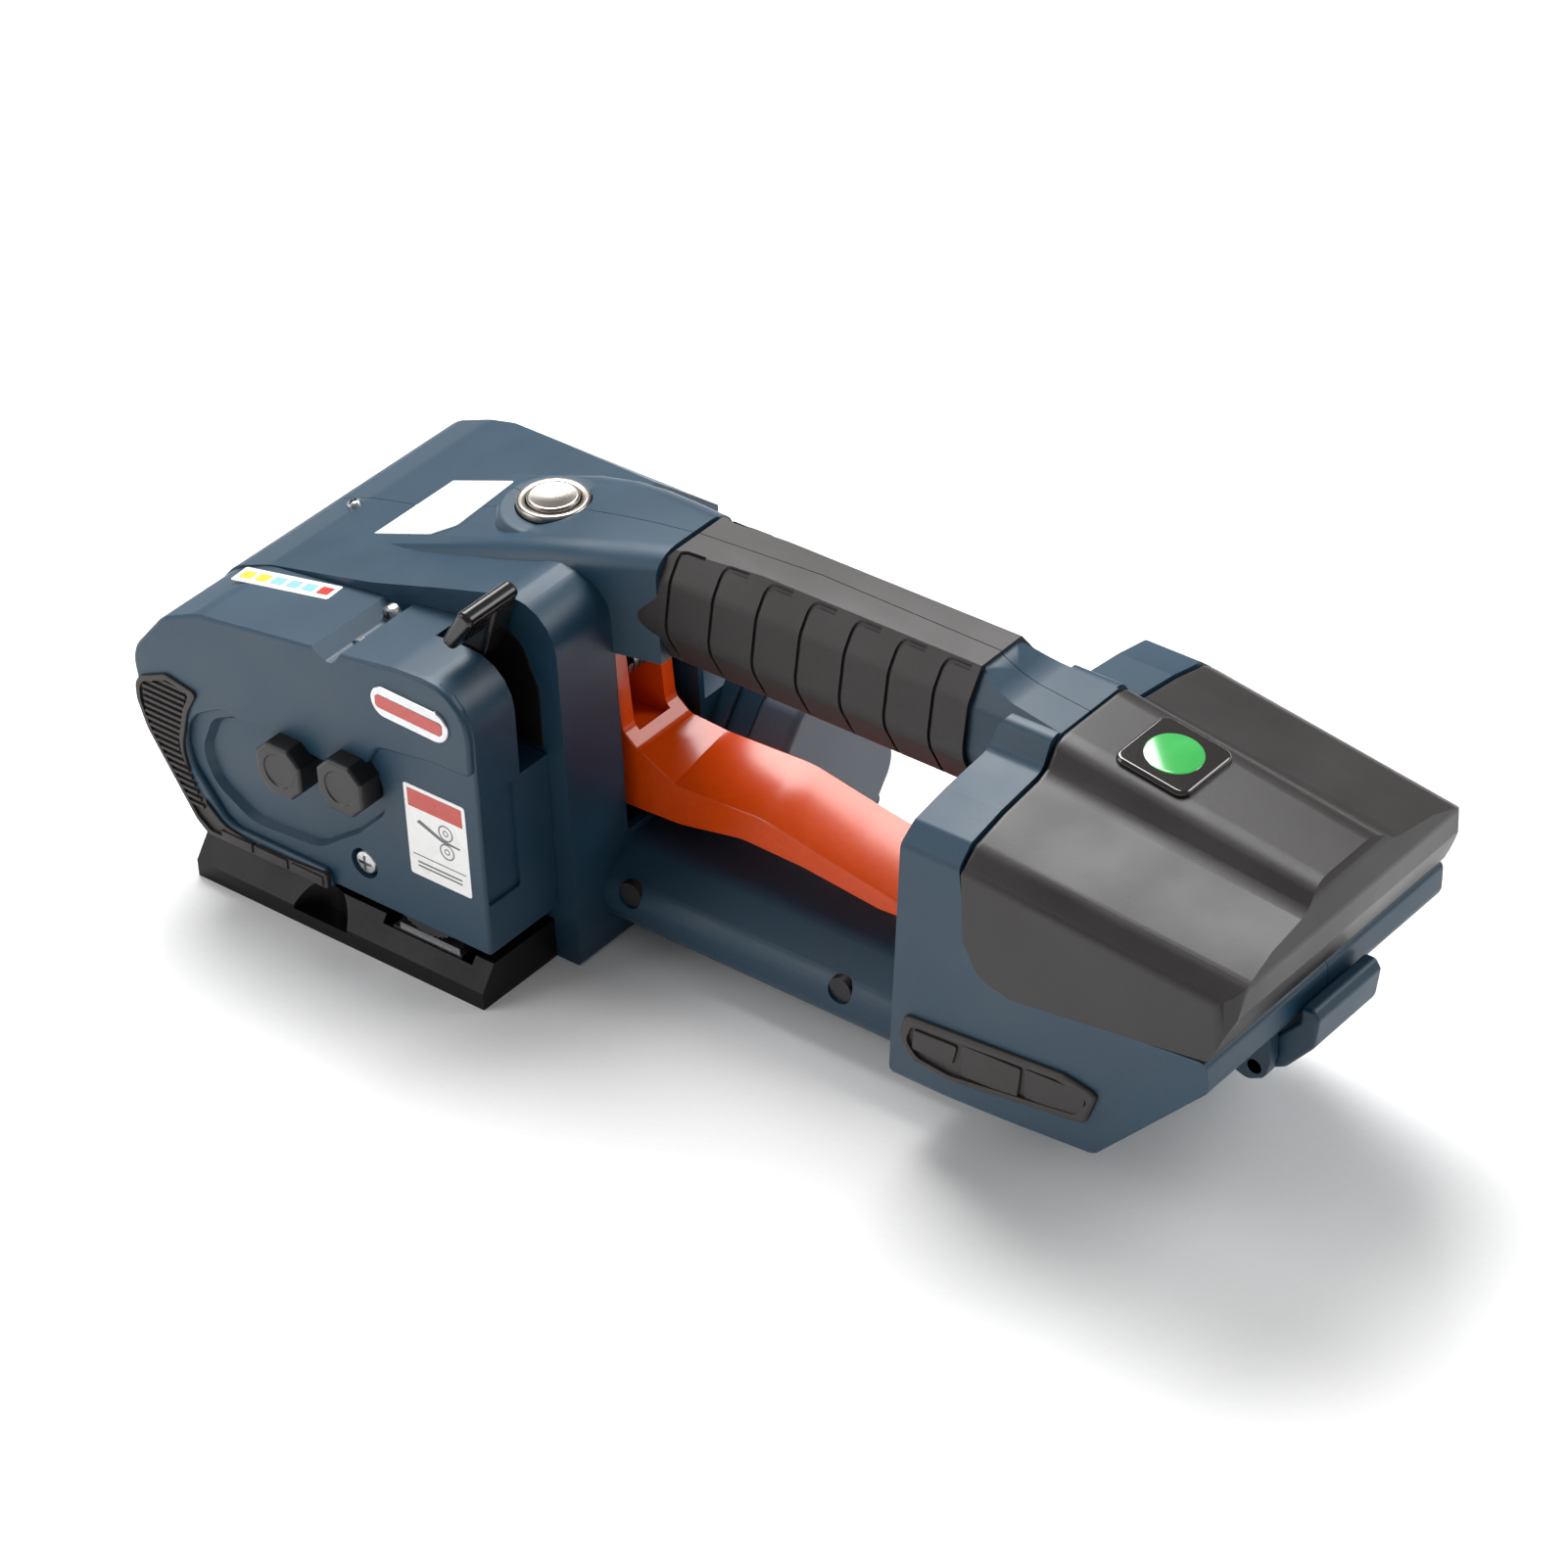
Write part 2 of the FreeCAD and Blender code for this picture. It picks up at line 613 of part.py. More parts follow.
def housing_hollow():
    """Every space inside the housing that the mechanism and the wires fill."""
    head = slab("head_hollow", "XZ", hollow_corners("head_top", "head_low + wall"), HEAD_INNER,
                "head_far - wall")
    slope = slab("hollow_slope", "YZ", [("head_far - 28", 112), ("head_far - 28", 101),
                                        ("head_far", "head_slope_far - 5"), ("head_far", 112)], -70, 70)
    step = block("hollow_step", ("step_along - wall", 70), ("step_across - wall", "head_far + 1"),
                 ("step_height - wall", 120))
    room = cut("head_room", head, slope, step)
    bar = block("handle_hollow", ("head_rear - 6", "dock_seam - wall - 4"),
                ("grip_middle - grip_half + 4", "grip_middle + grip_half - 4"), ("grip_low + 4",
                                                                                 "grip_top - 7"))
    beam = block("beam_hollow", ("head_rear - 6", "dock_front + 8"), ("beam_near + 4", "beam_far - 4"),
                 ("beam_low + wall", "beam_top - 4"))
    side = dock_profile("wall")
    side[2:7] = [("dock_seam - wall", "crest_top - 5"), ("dock_seam - wall", "dock_floor - wall"),
                 ("dock_rear - wall - 1", "dock_floor + seam_rise - 2 * wall - 2")]
    dock = overlap("dock_hollow", slab("dock_hollow_side", "XZ", side, "dock_near + wall",
                                       DOCK_FAR + " - wall"),
                   slab("dock_hollow_end", "YZ", dock_section("wall", "dock_low + wall"), 150, 270))
    return fuse("housing_inside", room, bar, beam, dock)


def housing_cuts():
    """Openings, bores and seats cut through the housing walls."""
    plate_seat = block("seat_for_plate", ("-" + PLATE_HALF + " - 30", PLATE_HALF),
                       (-40, "plate_width / 2"), (-1, "plate_top"))
    release = block("opening_for_release", ("head_rear - wall - 3", "head_rear + 1"),
                    ("release_near - 5", "release_far + 4"), ("beam_top + 2", "grip_low - 1"))
    button = rod("bore_for_button", "Z", ("button_across", "grip_middle", 80), "button_barrel", 60)
    button_seat = rod("seat_for_button", "Z", ("button_across", "grip_middle", "button_top - 2"),
                      "button_radius + 1", 40)
    wheel = rod("bore_for_wheel", "Y", ("wheel_centre", "head_near - 1", WHEEL_HEIGHT),
                "shaft_radius + 1.5", 6)
    rocker = rod("bore_for_rocker", "Y", ("rocker_centre", "head_near - 1", "rocker_height"),
                 "rocker_pin + 0.5", 6)
    shaft = rod("bore_for_lever_shaft", "Y", ("weld_pivot", "head_near - 1", "weld_height"),
                "weld_shaft + 0.5", 6)
    window = block("window_for_rod", ("shoe_front + 3.5", "shoe_rear - 1"),
                   ("head_near - 1", "head_near + 5"),
                   (14.5, 33))
    arm_pin = rod("bore_for_arm_pin", "Y", ("arm_pivot", "head_near - 1", "arm_height"), 3, 6)
    motor = rod("opening_for_motor", "X", ("head_rear - wall - 2", "motor_across", WHEEL_HEIGHT),
                "motor_radius + 1", 10)
    release_pin = rod("bore_for_release_pin", "Y", ("release_pivot", 40, "release_height"), 3,
                      "step_across - 40.5")
    latch_pin = rod("bore_for_latch_pin", "Y", ("dock_rear - 9", 10, "dock_floor - 18"), "latch_pin", 50)
    motor_far = block("room_for_motor", ("motor_front - 0.4", "head_rear - wall"),
                      ("head_far - wall - 1", "head_far + 1"),
                      ("head_low + wall", WHEEL_HEIGHT + " + motor_radius"))
    terminal = block("opening_for_terminal", ("dock_seam - wall - 2", "dock_seam + 1"),
                     ("grip_middle - 16", "grip_middle + 16"), ("dock_floor + 12", "dock_floor + 26"))
    return [plate_seat, release, button, button_seat, wheel, rocker, shaft, window, arm_pin, motor,
            motor_far,
            terminal, release_pin, latch_pin]


def housing_halves():
    shell = cut("housing_shell", housing_solid(), housing_hollow())
    bosses = screw_bosses("beam", "half", "beam_near + 1", "beam_far - beam_near - 2") \
        + screw_bosses("dock", "half", "dock_near + 5", "%s - dock_near - 10" % DOCK_FAR) \
        + screw_bosses("head", "half", "head_near + 1", "head_far - head_near - 2") \
        + screw_bosses("cover", "half", "head_near + 1", "12")[:1]
    rooms = [room for word in ("beam", "dock", "head", "cover") for room in screw_rooms(word, "half")]
    open_shell = cut("housing_open", fuse("housing_posts", shell, *bosses), *housing_cuts(), *rooms)
    near = block("near_side", (-80, 280), (-60, "grip_middle"), (-10, 140))
    far = block("far_side", (-80, 280), ("grip_middle", 130), (-10, 140))
    node("housing_near", overlap("housing_near_half", open_shell, near))
    node("housing_far", overlap("housing_far_half", open_shell, far))


def motor_housing():
    height = WHEEL_HEIGHT
    radius = "motor_cover_radius"
    side = "%s * 0.42" % radius
    corners = []
    for y_sign, z_sign, wide_y in ((1, -1, False), (1, -1, True), (1, 1, True), (1, 1, False),
                                   (-1, 1, False), (-1, 1, True), (-1, -1, True), (-1, -1, False)):
        y_part = "(%s + 1)" % radius if wide_y else side
        z_part = side if wide_y else "(%s - 1)" % radius
        corners.append(("motor_across + %d * %s" % (y_sign, y_part),
                        "%s + %d * %s" % (height, z_sign, z_part)))
    shell = slab("motor_cover_shell", "YZ", corners, "motor_front - 3", "motor_cover_rear")
    bore = rod("motor_cover_bore", "X", ("motor_front - 0.4", "motor_across", height),
               "motor_radius + 1", 30)
    head_side = block("motor_cover_head_side", ("motor_front - 4", "head_rear"), (20, "head_far"),
                      (-10, 90))
    rooms = [screw_room("motor_cover_room_%d" % k, "X", seat, 18, -1, "screw_radius - 0.5",
                        "screw_head - 1.2")
             for k, seat in enumerate(motor_seats())]
    node("motor_cover", cut("motor_cover_cut", shell, bore, head_side, *rooms))
    cap = rod("end_cap_disc", "X", ("motor_cover_rear", "motor_across", height), radius,
              "motor_cap_rear - motor_cover_rear")
    cap_bore = rod("end_cap_bore", "X", ("motor_cover_rear - 1", "motor_across", height),
                   "motor_radius + 1",
                   "motor_rear - motor_cover_rear + 2")
    cap_rooms = [screw_room("motor_cap_room_%d" % k, "X", seat, 18, -1, "screw_radius - 0.5",
                            "screw_head - 1.2")
                 for k, seat in enumerate(motor_seats())]
    node("motor_end_cap", cut("end_cap_cut", cap, cap_bore, *cap_rooms))


def grips():
    """Two rubber half sleeves that meet on the middle plane of the handle."""
    skin = "grip_skin"
    section = [("grip_middle - grip_half + 2", "grip_low - " + skin),
               ("grip_middle + grip_half - 2", "grip_low - " + skin),
               ("grip_middle + grip_half + " + skin, "grip_low + 8.5"),
               ("grip_middle + grip_half - 1 + " + skin, "grip_top - 9"),
               ("grip_middle + grip_half - 5", "grip_top + " + skin),
               ("grip_middle - grip_half + 5", "grip_top + " + skin),
               ("grip_middle - grip_half + 1 - " + skin, "grip_top - 9"),
               ("grip_middle - grip_half - " + skin, "grip_low + 8.5")]
    sleeve = slab("grip_sleeve", "YZ", section, "grip_start + 3", "grip_end")
    limit = slab("grip_limit", "XZ", [("grip_start", 60), ("grip_end + 2", 60),
                                      ("grip_end + 2", "grip_top + 1"),
                                      ("grip_end", "grip_top + 1.2"), (110, "grip_top + 2.2"),
                                      ("grip_start", "grip_top - 2 + grip_skin")], 0, 80)
    solid = overlap("grip_form", sleeve, limit)
    body = cut("grip_tube", solid, doc.getObject("handle_form"), doc.getObject("head_joined"))
    for word, low, high in (("near", -20, "grip_middle"), ("far", "grip_middle", 90)):
        half = block("grip_side_" + word, (50, 180), (low, high), (60, 130))
        node("grip_" + word, overlap("grip_half_" + word, body, half))


def bumpers():
    """Rubber strips on the nose of the cover and on both sides of the dock."""
    band = [(-2, 15.6), (-2, 20.5), (-26, 18.7), (-38, 21), (-47, 29.5), (-49, 40.5), (-45.5, 52.5),
            (-40, 61),
            (-52, 62), (-63.8, 57), (-61.8, 41.6), (-47, 18.3), (-43.4, 15.6)]
    node("nose_bumper", slab("nose_bumper_band", "XZ", band, "cover_near - 1", "cover_near"))
    strip = [("dock_front + 5", 33), ("dock_front + 7", 41), ("dock_seam + 27", 45),
             ("dock_seam + 37", 43),
             ("dock_seam + 32", 31), ("dock_front + 20", 25), ("dock_front + 8", 26)]
    band = cut("dock_bumper_band", slab("dock_bumper_outer", "YZ", dock_section("(-1)", "dock_low"),
                                        150, 250),
               slab("dock_bumper_inner", "YZ", dock_section("0", "dock_low - 1"), 149, 251))
    for word, low, high in (("near", "dock_near - 2", 0), ("far", 70, DOCK_FAR + " + 2")):
        node("dock_bumper_" + word, overlap("dock_bumper_%s_form" % word, band,
                                            slab("dock_bumper_%s_strip" % word, "XZ", strip, low, high)))


# ---------------------------------------------------------------- drive

def motor():
    height = WHEEL_HEIGHT
    can = rod("motor_can_tube", "X", ("motor_front", "motor_across", height), "motor_radius",
              "motor_rear - motor_front")
    room = rod("motor_can_room", "X", ("motor_front + 5", "motor_across", height), "rotor_radius + 0.5",
               "motor_rear - motor_front - 10")
    bore = rod("motor_can_bore", "X", ("motor_front - 1", "motor_across", height), "motor_shaft + 3.5",
               "motor_rear - motor_front + 2")
    node("motor_can", cut("motor_can_cut", can, room, bore))
    rings = []
    for word, start in (("front", "motor_front"), ("rear", "motor_rear - 4")):
        ring = rod("motor_bearing_ring_" + word, "X", (start, "motor_across", height),
                   "motor_shaft + 3.5", 4)
        hole = rod("motor_bearing_hole_" + word, "X", (start + " - 1", "motor_across", height),
                   "motor_shaft + fit_gap", 6)
        rings.append(cut("motor_bearing_" + word, ring, hole))
    node("motor_bearings", group("motor_bearing_pair", rings))
    core = rod("rotor_core", "X", ("motor_front + 6", "motor_across", height), "rotor_radius",
               "motor_rear - motor_front - 12")
    core_bore = rod("rotor_core_bore", "X", ("motor_front", "motor_across", height), "motor_shaft", 50)
    node("motor_rotor", cut("rotor_cut", core, core_bore))
    node("motor_shaft", rod("motor_shaft_rod", "X", ("pulley_plane - 1", "motor_across", height),
                            "motor_shaft",
                            "motor_rear - pulley_plane + 1"))


def toothed_cone(name, teeth, large, small, face, bore):
    """A bevel gear: a cone frustum whose large face is on its own origin, with straight V grooves cut in."""
    body = Part.makeCone(large, small, face)
    groove_depth = 0.14 * large
    half = math.pi * large / teeth * 0.42
    for k in range(teeth):
        ends = []
        for radius, level, share in ((large, -0.01, 1.0), (small, face + 0.01, small / large)):
            ends.append(Part.makePolygon([Vector(radius + 1, -half * share * 1.3, level),
                                          Vector(radius + 1, half * share * 1.3, level),
                                          Vector(radius - groove_depth * share, 0, level),
                                          Vector(radius + 1, -half * share * 1.3, level)]))
        groove = Part.makeLoft(ends, True, True)
        groove.rotate(Vector(), Vector(0, 0, 1), 360.0 * k / teeth)
        body = body.cut(groove)
    hole = Part.makeCylinder(bore, face + 2, Vector(0, 0, -1))
    item = add("Part::Feature", name)
    item.Shape = body.cut(hole)
    return item


def bevel_pair():
    apex_gap = size("pinion_radius")
    reach = size("bevel_radius")
    face = size("gear_face")
    slant = math.hypot(apex_gap, reach)
    share = 1 - face / slant
    pinion = toothed_cone("bevel_pinion_teeth", 12, apex_gap - 0.3, (apex_gap - 0.3) * share,
                          face * reach / slant, size("motor_shaft"))
    pinion.Placement.Rotation = FreeCAD.Rotation(Vector(0, 1, 0), -90)
    place(pinion, "wheel_centre + bevel_radius", "motor_across", WHEEL_HEIGHT)
    node("bevel_pinion", pinion)
    gear = toothed_cone("bevel_gear_teeth", 28, reach - 0.3, (reach - 0.3) * share,
                        face * apex_gap / slant, 3)
    gear.Placement.Rotation = FreeCAD.Rotation(Vector(1, 0, 0), -90)
    place(gear, "wheel_centre", "motor_across - pinion_radius", WHEEL_HEIGHT)
    node("bevel_gear", gear)
    hub = rod("bevel_hub_disc", "Y", ("wheel_centre", 54, WHEEL_HEIGHT), 9,
              "motor_across - pinion_radius - 54")
    spindle = rod("bevel_spindle", "Y", ("wheel_centre", 48, WHEEL_HEIGHT), 3,
                  "motor_across - pinion_radius - 48 + gear_face * 0.39")
    node("input_spindle", fuse("input_spindle_solid", hub, spindle))


def gearhead():
    height = WHEEL_HEIGHT
    case = rod("gearhead_can", "Y", ("wheel_centre", 32, height), "gearhead_radius", 21)
    room = rod("gearhead_room", "Y", ("wheel_centre", 34, height), "gearhead_radius - 4", 17)
    input_bore = rod("gearhead_input_bore", "Y", ("wheel_centre", 50, height), "3 + fit_gap", 4)
    output_bore = rod("gearhead_output_bore", "Y", ("wheel_centre", 31, height),
                      "shaft_radius + fit_gap", 4)
    node("gearhead_case", cut("gearhead_cut", case, room, input_bore, output_bore))
    carrier = rod("carrier_disc", "Y", ("wheel_centre", 36, height), "gearhead_radius - 5", 5)
    carrier_bore = rod("carrier_bore", "Y", ("wheel_centre", 35, height), "shaft_radius", 7)
    node("planet_carrier", cut("carrier_cut", carrier, carrier_bore))


def tension_wheel():
    """A knurled steel wheel on the output shaft of the gearhead."""
    teeth = 48
    radius = size("wheel_radius")
    points = []
    for k in range(teeth * 2):
        turn = math.pi * k / teeth
        reach = radius if k % 2 == 0 else radius - 0.5
        points.append(Vector(reach * math.cos(turn), reach * math.sin(turn), 0))
    rim = Part.Face(Part.makePolygon(points + points[:1])).extrude(Vector(0, 0, size("wheel_width")))
    hole = Part.makeCylinder(size("shaft_radius"), size("wheel_width") + 2, Vector(0, 0, -1))
    wheel = add("Part::Feature", "tension_wheel_rim")
    wheel.Shape = rim.cut(hole)
    wheel.Placement.Rotation = TURNS["Y"]
    place(wheel, "wheel_centre", "wheel_near", WHEEL_HEIGHT)
    node("tension_wheel", wheel)
    node("wheel_shaft", rod("wheel_shaft_rod", "Y", ("wheel_centre", "wheel_near", WHEEL_HEIGHT),
                            "shaft_radius",
                            "41 - wheel_near"))
    rings = []
    for word, start in (("near", HEAD_INNER), ("far", "26")):
        ring = rod("wheel_bearing_ring_" + word, "Y", ("wheel_centre", start, WHEEL_HEIGHT),
                   "bearing_radius", 6)
        hole = rod("wheel_bearing_hole_" + word, "Y", ("wheel_centre", start + " - 1", WHEEL_HEIGHT),
                   "shaft_radius + fit_gap", 8)
        rings.append(cut("wheel_bearing_" + word, ring, hole))
    node("wheel_bearings", group("wheel_bearing_pair", rings))


def belt_drive():
    height = WHEEL_HEIGHT
    big = rod("drive_pulley_disc", "X", ("pulley_plane", "motor_across", height), "drive_pulley",
              "belt_width")
    big_bore = rod("drive_pulley_bore", "X", ("pulley_plane - 1", "motor_across", height), "motor_shaft",
                   "belt_width + 2")
    node("drive_pulley", cut("drive_pulley_cut", big, big_bore))
    small = rod("small_pulley_disc", "X", ("pulley_plane", "eccentric_across", height), "eccentric_pulley",
                "belt_width")
    small_bore = rod("small_pulley_bore", "X", ("pulley_plane - 1", "eccentric_across", height), 3,
                     "belt_width + 2")
    node("eccentric_pulley", cut("small_pulley_cut", small, small_bore))
    shaft = rod("eccentric_rod", "X", ("pulley_plane", "eccentric_across", height), 3, "belt_width + 4")
    disc = rod("eccentric_disc", "X", ("pulley_plane + belt_width + 4", "eccentric_across",
                                       height + " + eccentric_throw"), "eccentric_radius", 8)
    node("eccentric_shaft", fuse("eccentric_solid", shaft, disc))
    wide = size("belt_width")
    spread = size("motor_across") - size("eccentric_across")
    solids = []
    for extra in (0.0, 1.6):
        large = size("drive_pulley") + size("seat_gap") + extra
        little = size("eccentric_pulley") + size("seat_gap") + extra
        lean = math.asin((large - little) / spread)
        rise = math.cos(lean)
        shift = math.sin(lean)
        start = Vector(0, -little * shift, little * rise)
        finish = Vector(0, spread - large * shift, large * rise)
        low_start = Vector(0, start.y, -start.z)
        low_finish = Vector(0, finish.y, -finish.z)
        loop = Part.Wire([Part.LineSegment(start, finish).toShape(),
                          Part.Arc(finish, Vector(0, spread + large, 0), low_finish).toShape(),
                          Part.LineSegment(low_finish, low_start).toShape(),
                          Part.Arc(low_start, Vector(0, -little, 0), start).toShape()])
        solids.append(Part.Face(loop).extrude(Vector(wide, 0, 0)))
    belt = add("Part::Feature", "belt_band")
    belt.Shape = solids[1].cut(solids[0])
    place(belt, "pulley_plane", "eccentric_across", height)
    node("drive_belt", belt)


# ---------------------------------------------------------------- rocker, welder and cutter

def rocker():
    centre = ("rocker_centre", "slot_near + 1.4", "rocker_height")
    far = 24.5
    boss = rod("rocker_boss_near", "Y", centre, "rocker_boss", 6)
    arm = slab("rocker_arm", "XZ", [("rocker_centre - 2", "rocker_height - rocker_boss + 1"),
                                    ("rocker_centre + 6", "rocker_height - rocker_boss - 2"),
                                    ("wheel_centre - 12", "plate_top - 4.7"), ("wheel_centre + 11",
                                                                               "plate_top - 4.7"),
                                    ("wheel_centre + 11", "plate_top - 1.6"), ("wheel_centre - 7",
                                                                               "plate_top - 1.6"),
                                    ("rocker_centre + 4",
                                     "rocker_height + 4")], "slot_near + 1.4", "slot_near + 7.4")
    foot = block("rocker_foot", ("wheel_centre - 12", "wheel_centre + 11"),
                 ("wheel_near", "slot_near + 1.6"),
                 ("plate_top - 4.7", "plate_top - toothed_plate_thick"))
    shaft = rod("rocker_shaft", "Y", ("rocker_centre", "slot_near + 1.4", "rocker_height"), "rocker_pin",
                "%s - slot_near - 1.4" % far)
    far_boss = rod("rocker_boss_far", "Y", ("rocker_centre", far - 6, "rocker_height"), "rocker_boss", 6)
    crank = slab("rocker_crank", "XZ", [("rocker_centre - 4", "rocker_height + 3"),
                                        ("rocker_centre + 5", "rocker_height"),
                                        (20, 58), (18, 63), (12, 63)], far - 6, far)
    node("rocker", fuse("rocker_solid", boss, arm, foot, shaft, far_boss, crank))
    node("toothed_plate", block("toothed_plate_bar", ("wheel_centre - 10", "wheel_centre + 10"),
                                ("wheel_near + 0.5", "slot_near - 0.6"),
                                ("plate_top - toothed_plate_thick", "plate_top")))


def weld_parts():
    arm_near = "slot_near + 1.4"
    arm_far = "slot_near + 7.4"
    pivot = rod("arm_boss", "Y", ("arm_pivot", arm_near, "arm_height"), 5.5, 6)
    bar = slab("arm_bar", "XZ", [("arm_pivot - 3", "arm_height + 4"), ("arm_pivot + 2", "arm_height - 5"),
                                 ("weld_pivot + 4", "weld_height - 17"), ("weld_pivot + 4",
                                                                          "weld_height - 9")],
               arm_near, arm_far)
    hanger = block("arm_hanger", ("shoe_front + 2", "shoe_rear - 2"), ("wheel_near + 1", arm_far),
                   (26, 31))
    riser = block("arm_riser", ("shoe_front + 2", "shoe_rear - 2"), (arm_near, arm_far), (26, 40))
    holder = block("arm_cutter_holder", (-9, -5), (arm_near, arm_far), (30, 50))
    arm = fuse("weld_arm_solid", pivot, bar, hanger, riser, holder)
    hole = rod("arm_hole", "Y", ("arm_pivot", "cover_near", "arm_height"), "3 + fit_gap", 40)
    node("weld_arm", cut("weld_arm_cut", arm, hole))
    blade = slab("cutter_blade_plate", "XZ", [(-9, 16), (-7, 13.2), (-5, 16), (-5, 30), (-9, 30)],
                 "wheel_near + 1", "slot_near - 0.6")
    neck = block("cutter_neck", (-9, -5), ("wheel_near + 1", arm_far), (30, 33))
    node("cutter_blade", cut("cutter_cut", fuse("cutter_solid", blade, neck),
                             doc.getObject("arm_cutter_holder")))
    shoe = block("weld_shoe_block", ("shoe_front", "shoe_rear"), ("wheel_near", "slot_near - 0.6"),
                 ("shoe_low", "shoe_high"))
    node("weld_shoe", shoe)
    stem = block("shoe_stem", ("shoe_front + 5", "shoe_rear - 3"), ("wheel_near + 3", "slot_near - 0.6"),
                 ("shoe_high", 25.6))
    link = block("shoe_link", ("shoe_front + 5", "shoe_rear - 3"),
                 ("slot_near - 1", "eccentric_across - 7"),
                 (21, 25.6))
    fork_height = WHEEL_HEIGHT + " + 0.5"
    fork = block("shoe_fork", ("shoe_front + 9", "shoe_rear - 3"),
                 ("eccentric_across - 10", "eccentric_across + 10"),
                 (fork_height + " - 9", fork_height + " + 9"))
    fork_slot = block("shoe_fork_slot", ("shoe_front + 8", "shoe_rear - 2"),
                      ("eccentric_across - 7.4", "eccentric_across + 7.4"),
                      (fork_height + " - 7", fork_height + " + 10"))
    node("shoe_rod", fuse("shoe_rod_solid", stem, link, cut("shoe_fork_open", fork, fork_slot)))


def weld_lever():
    low = "slot_near + 0.5"
    high = "slot_near + 0.5 + weld_blade"
    hub = rod("lever_hub", "Y", ("weld_pivot", low, "weld_height"), 8, "weld_blade")
    lobe = slab("lever_lobe", "XZ", [("weld_pivot", "weld_height - 5"),
                                     ("weld_pivot + 8.4", "weld_height - 5"),
                                     ("weld_pivot + 9", "weld_height - 2"), ("weld_pivot",
                                                                             "weld_height + 5")],
                low, high)
    blade = slab("lever_blade", "XZ", [("weld_pivot - 5", "weld_height + 4"),
                                       ("weld_pivot + 5", "weld_height + 4"),
                                       ("weld_pivot + 20", "weld_height + 28"), ("weld_pivot + 25",
                                                                                 "weld_height + 44"),
                                       ("weld_pivot + 20", "weld_height + 45.5"),
                                       ("weld_pivot + 13", "weld_height + 30")], low, high)
    finger = slab("lever_pad", "XZ", [("weld_pivot + 15.2", "weld_height + 35.5"),
                                      ("weld_pivot + 18.2", "weld_height + 33.5"),
                                      ("weld_pivot + 25.5", "weld_height + 45"),
                                      ("weld_pivot + 22.5", "weld_height + 46.5")], "slot_near - 9", high)
    bore = rod("lever_hub_bore", "Y", ("weld_pivot", "cover_near", "weld_height"), "weld_shaft", 40)
    node("weld_lever", cut("weld_lever_cut", fuse("weld_lever_solid", hub, lobe, blade, finger), bore))
    node("weld_lever_shaft", rod("weld_lever_rod", "Y",
                                 ("weld_pivot", "slot_near - wall - 1", "weld_height"),
                                 "weld_shaft", "%s - slot_near + wall + 2" % FRAME_FAR))


def release_lever():
    arm = [("release_pivot - 8", "release_height - 8"), ("release_pivot - 8", "release_height + 8"),
           ("release_pivot + 6", "release_height + 8"), ("head_rear - 3", 62), ("head_rear + 3",
                                                                                51), (70, 49),
           (97, 52), (120, 47.5), ("release_end", 42), ("release_end", 36.5), (133, 35), (110,
                                                                                          37.5), (90,
                                                                                                  38.5),
           (70, 34), (50, 33), ("release_pivot - 3", 40)]
    whole = pad("release_body", "XZ", arm, "release_near", "release_far")
    middle = block("release_gap", ("release_pivot - 20", "head_rear + 0.5"),
                   ("release_near + 4.5", "release_far - 4.5"),
                   (46, 100))
    finger = slab("release_finger", "XZ",
                  [(14, 67), ("release_pivot", 66), ("release_pivot", 76), (14, 72.5)],
                  18.5, "release_near + 1")
    bore = rod("release_bore", "Y", ("release_pivot", 0, "release_height"), "3 + fit_gap", 60)
    node("release_lever", cut("release_cut",
                              fuse("release_joined", cut("release_forked", whole, middle), finger),
                              bore))


def release_spring():
    """A torsion spring of square wire, coiled round the lever's pivot pin."""
    wire = 0.8
    coil_radius = 5.0
    turns = 4.0
    pitch = 2.2
    helix = Part.makeHelix(pitch, pitch * turns, coil_radius)
    corners = [Vector(coil_radius + wire * x, 0, wire * z) for x,
               z in ((1, 1), (-1, 1), (-1, -1), (1, -1), (1, 1))]
    pipe = Part.Wire(helix).makePipeShell([Part.makePolygon(corners)], True, True)
    spring = add("Part::Feature", "release_spring_coil")
    spring.Shape = pipe
    spring.Placement.Rotation = TURNS["Y"]
    place(spring, "release_pivot", "(release_near + release_far) / 2 - 4.4", "release_height")
    node("release_spring", spring)


def pivot_pins():
    """The cross pins of the release lever, the weld arm and their seats in the frame."""
    release = rod("release_pin", "Y", ("release_pivot", 14.6, "release_height"), 3,
                  "step_across - 0.6 - 14.6")
    arm = rod("arm_pin", "Y", ("arm_pivot", "slot_near - 1", "arm_height"), 3,
              "head_near + wall - slot_near + 3")
    latch = rod("latch_pin_rod", "Y", ("dock_rear - 9", "grip_middle - latch_half - seat_gap - ear_thick",
                                       "dock_floor - 18"), "latch_pin", "2 * (latch_half + seat_gap + ear_thick)")
    node("pivot_pins", group("pivot_pin_set", [release, arm, latch]))


# ---------------------------------------------------------------- controls

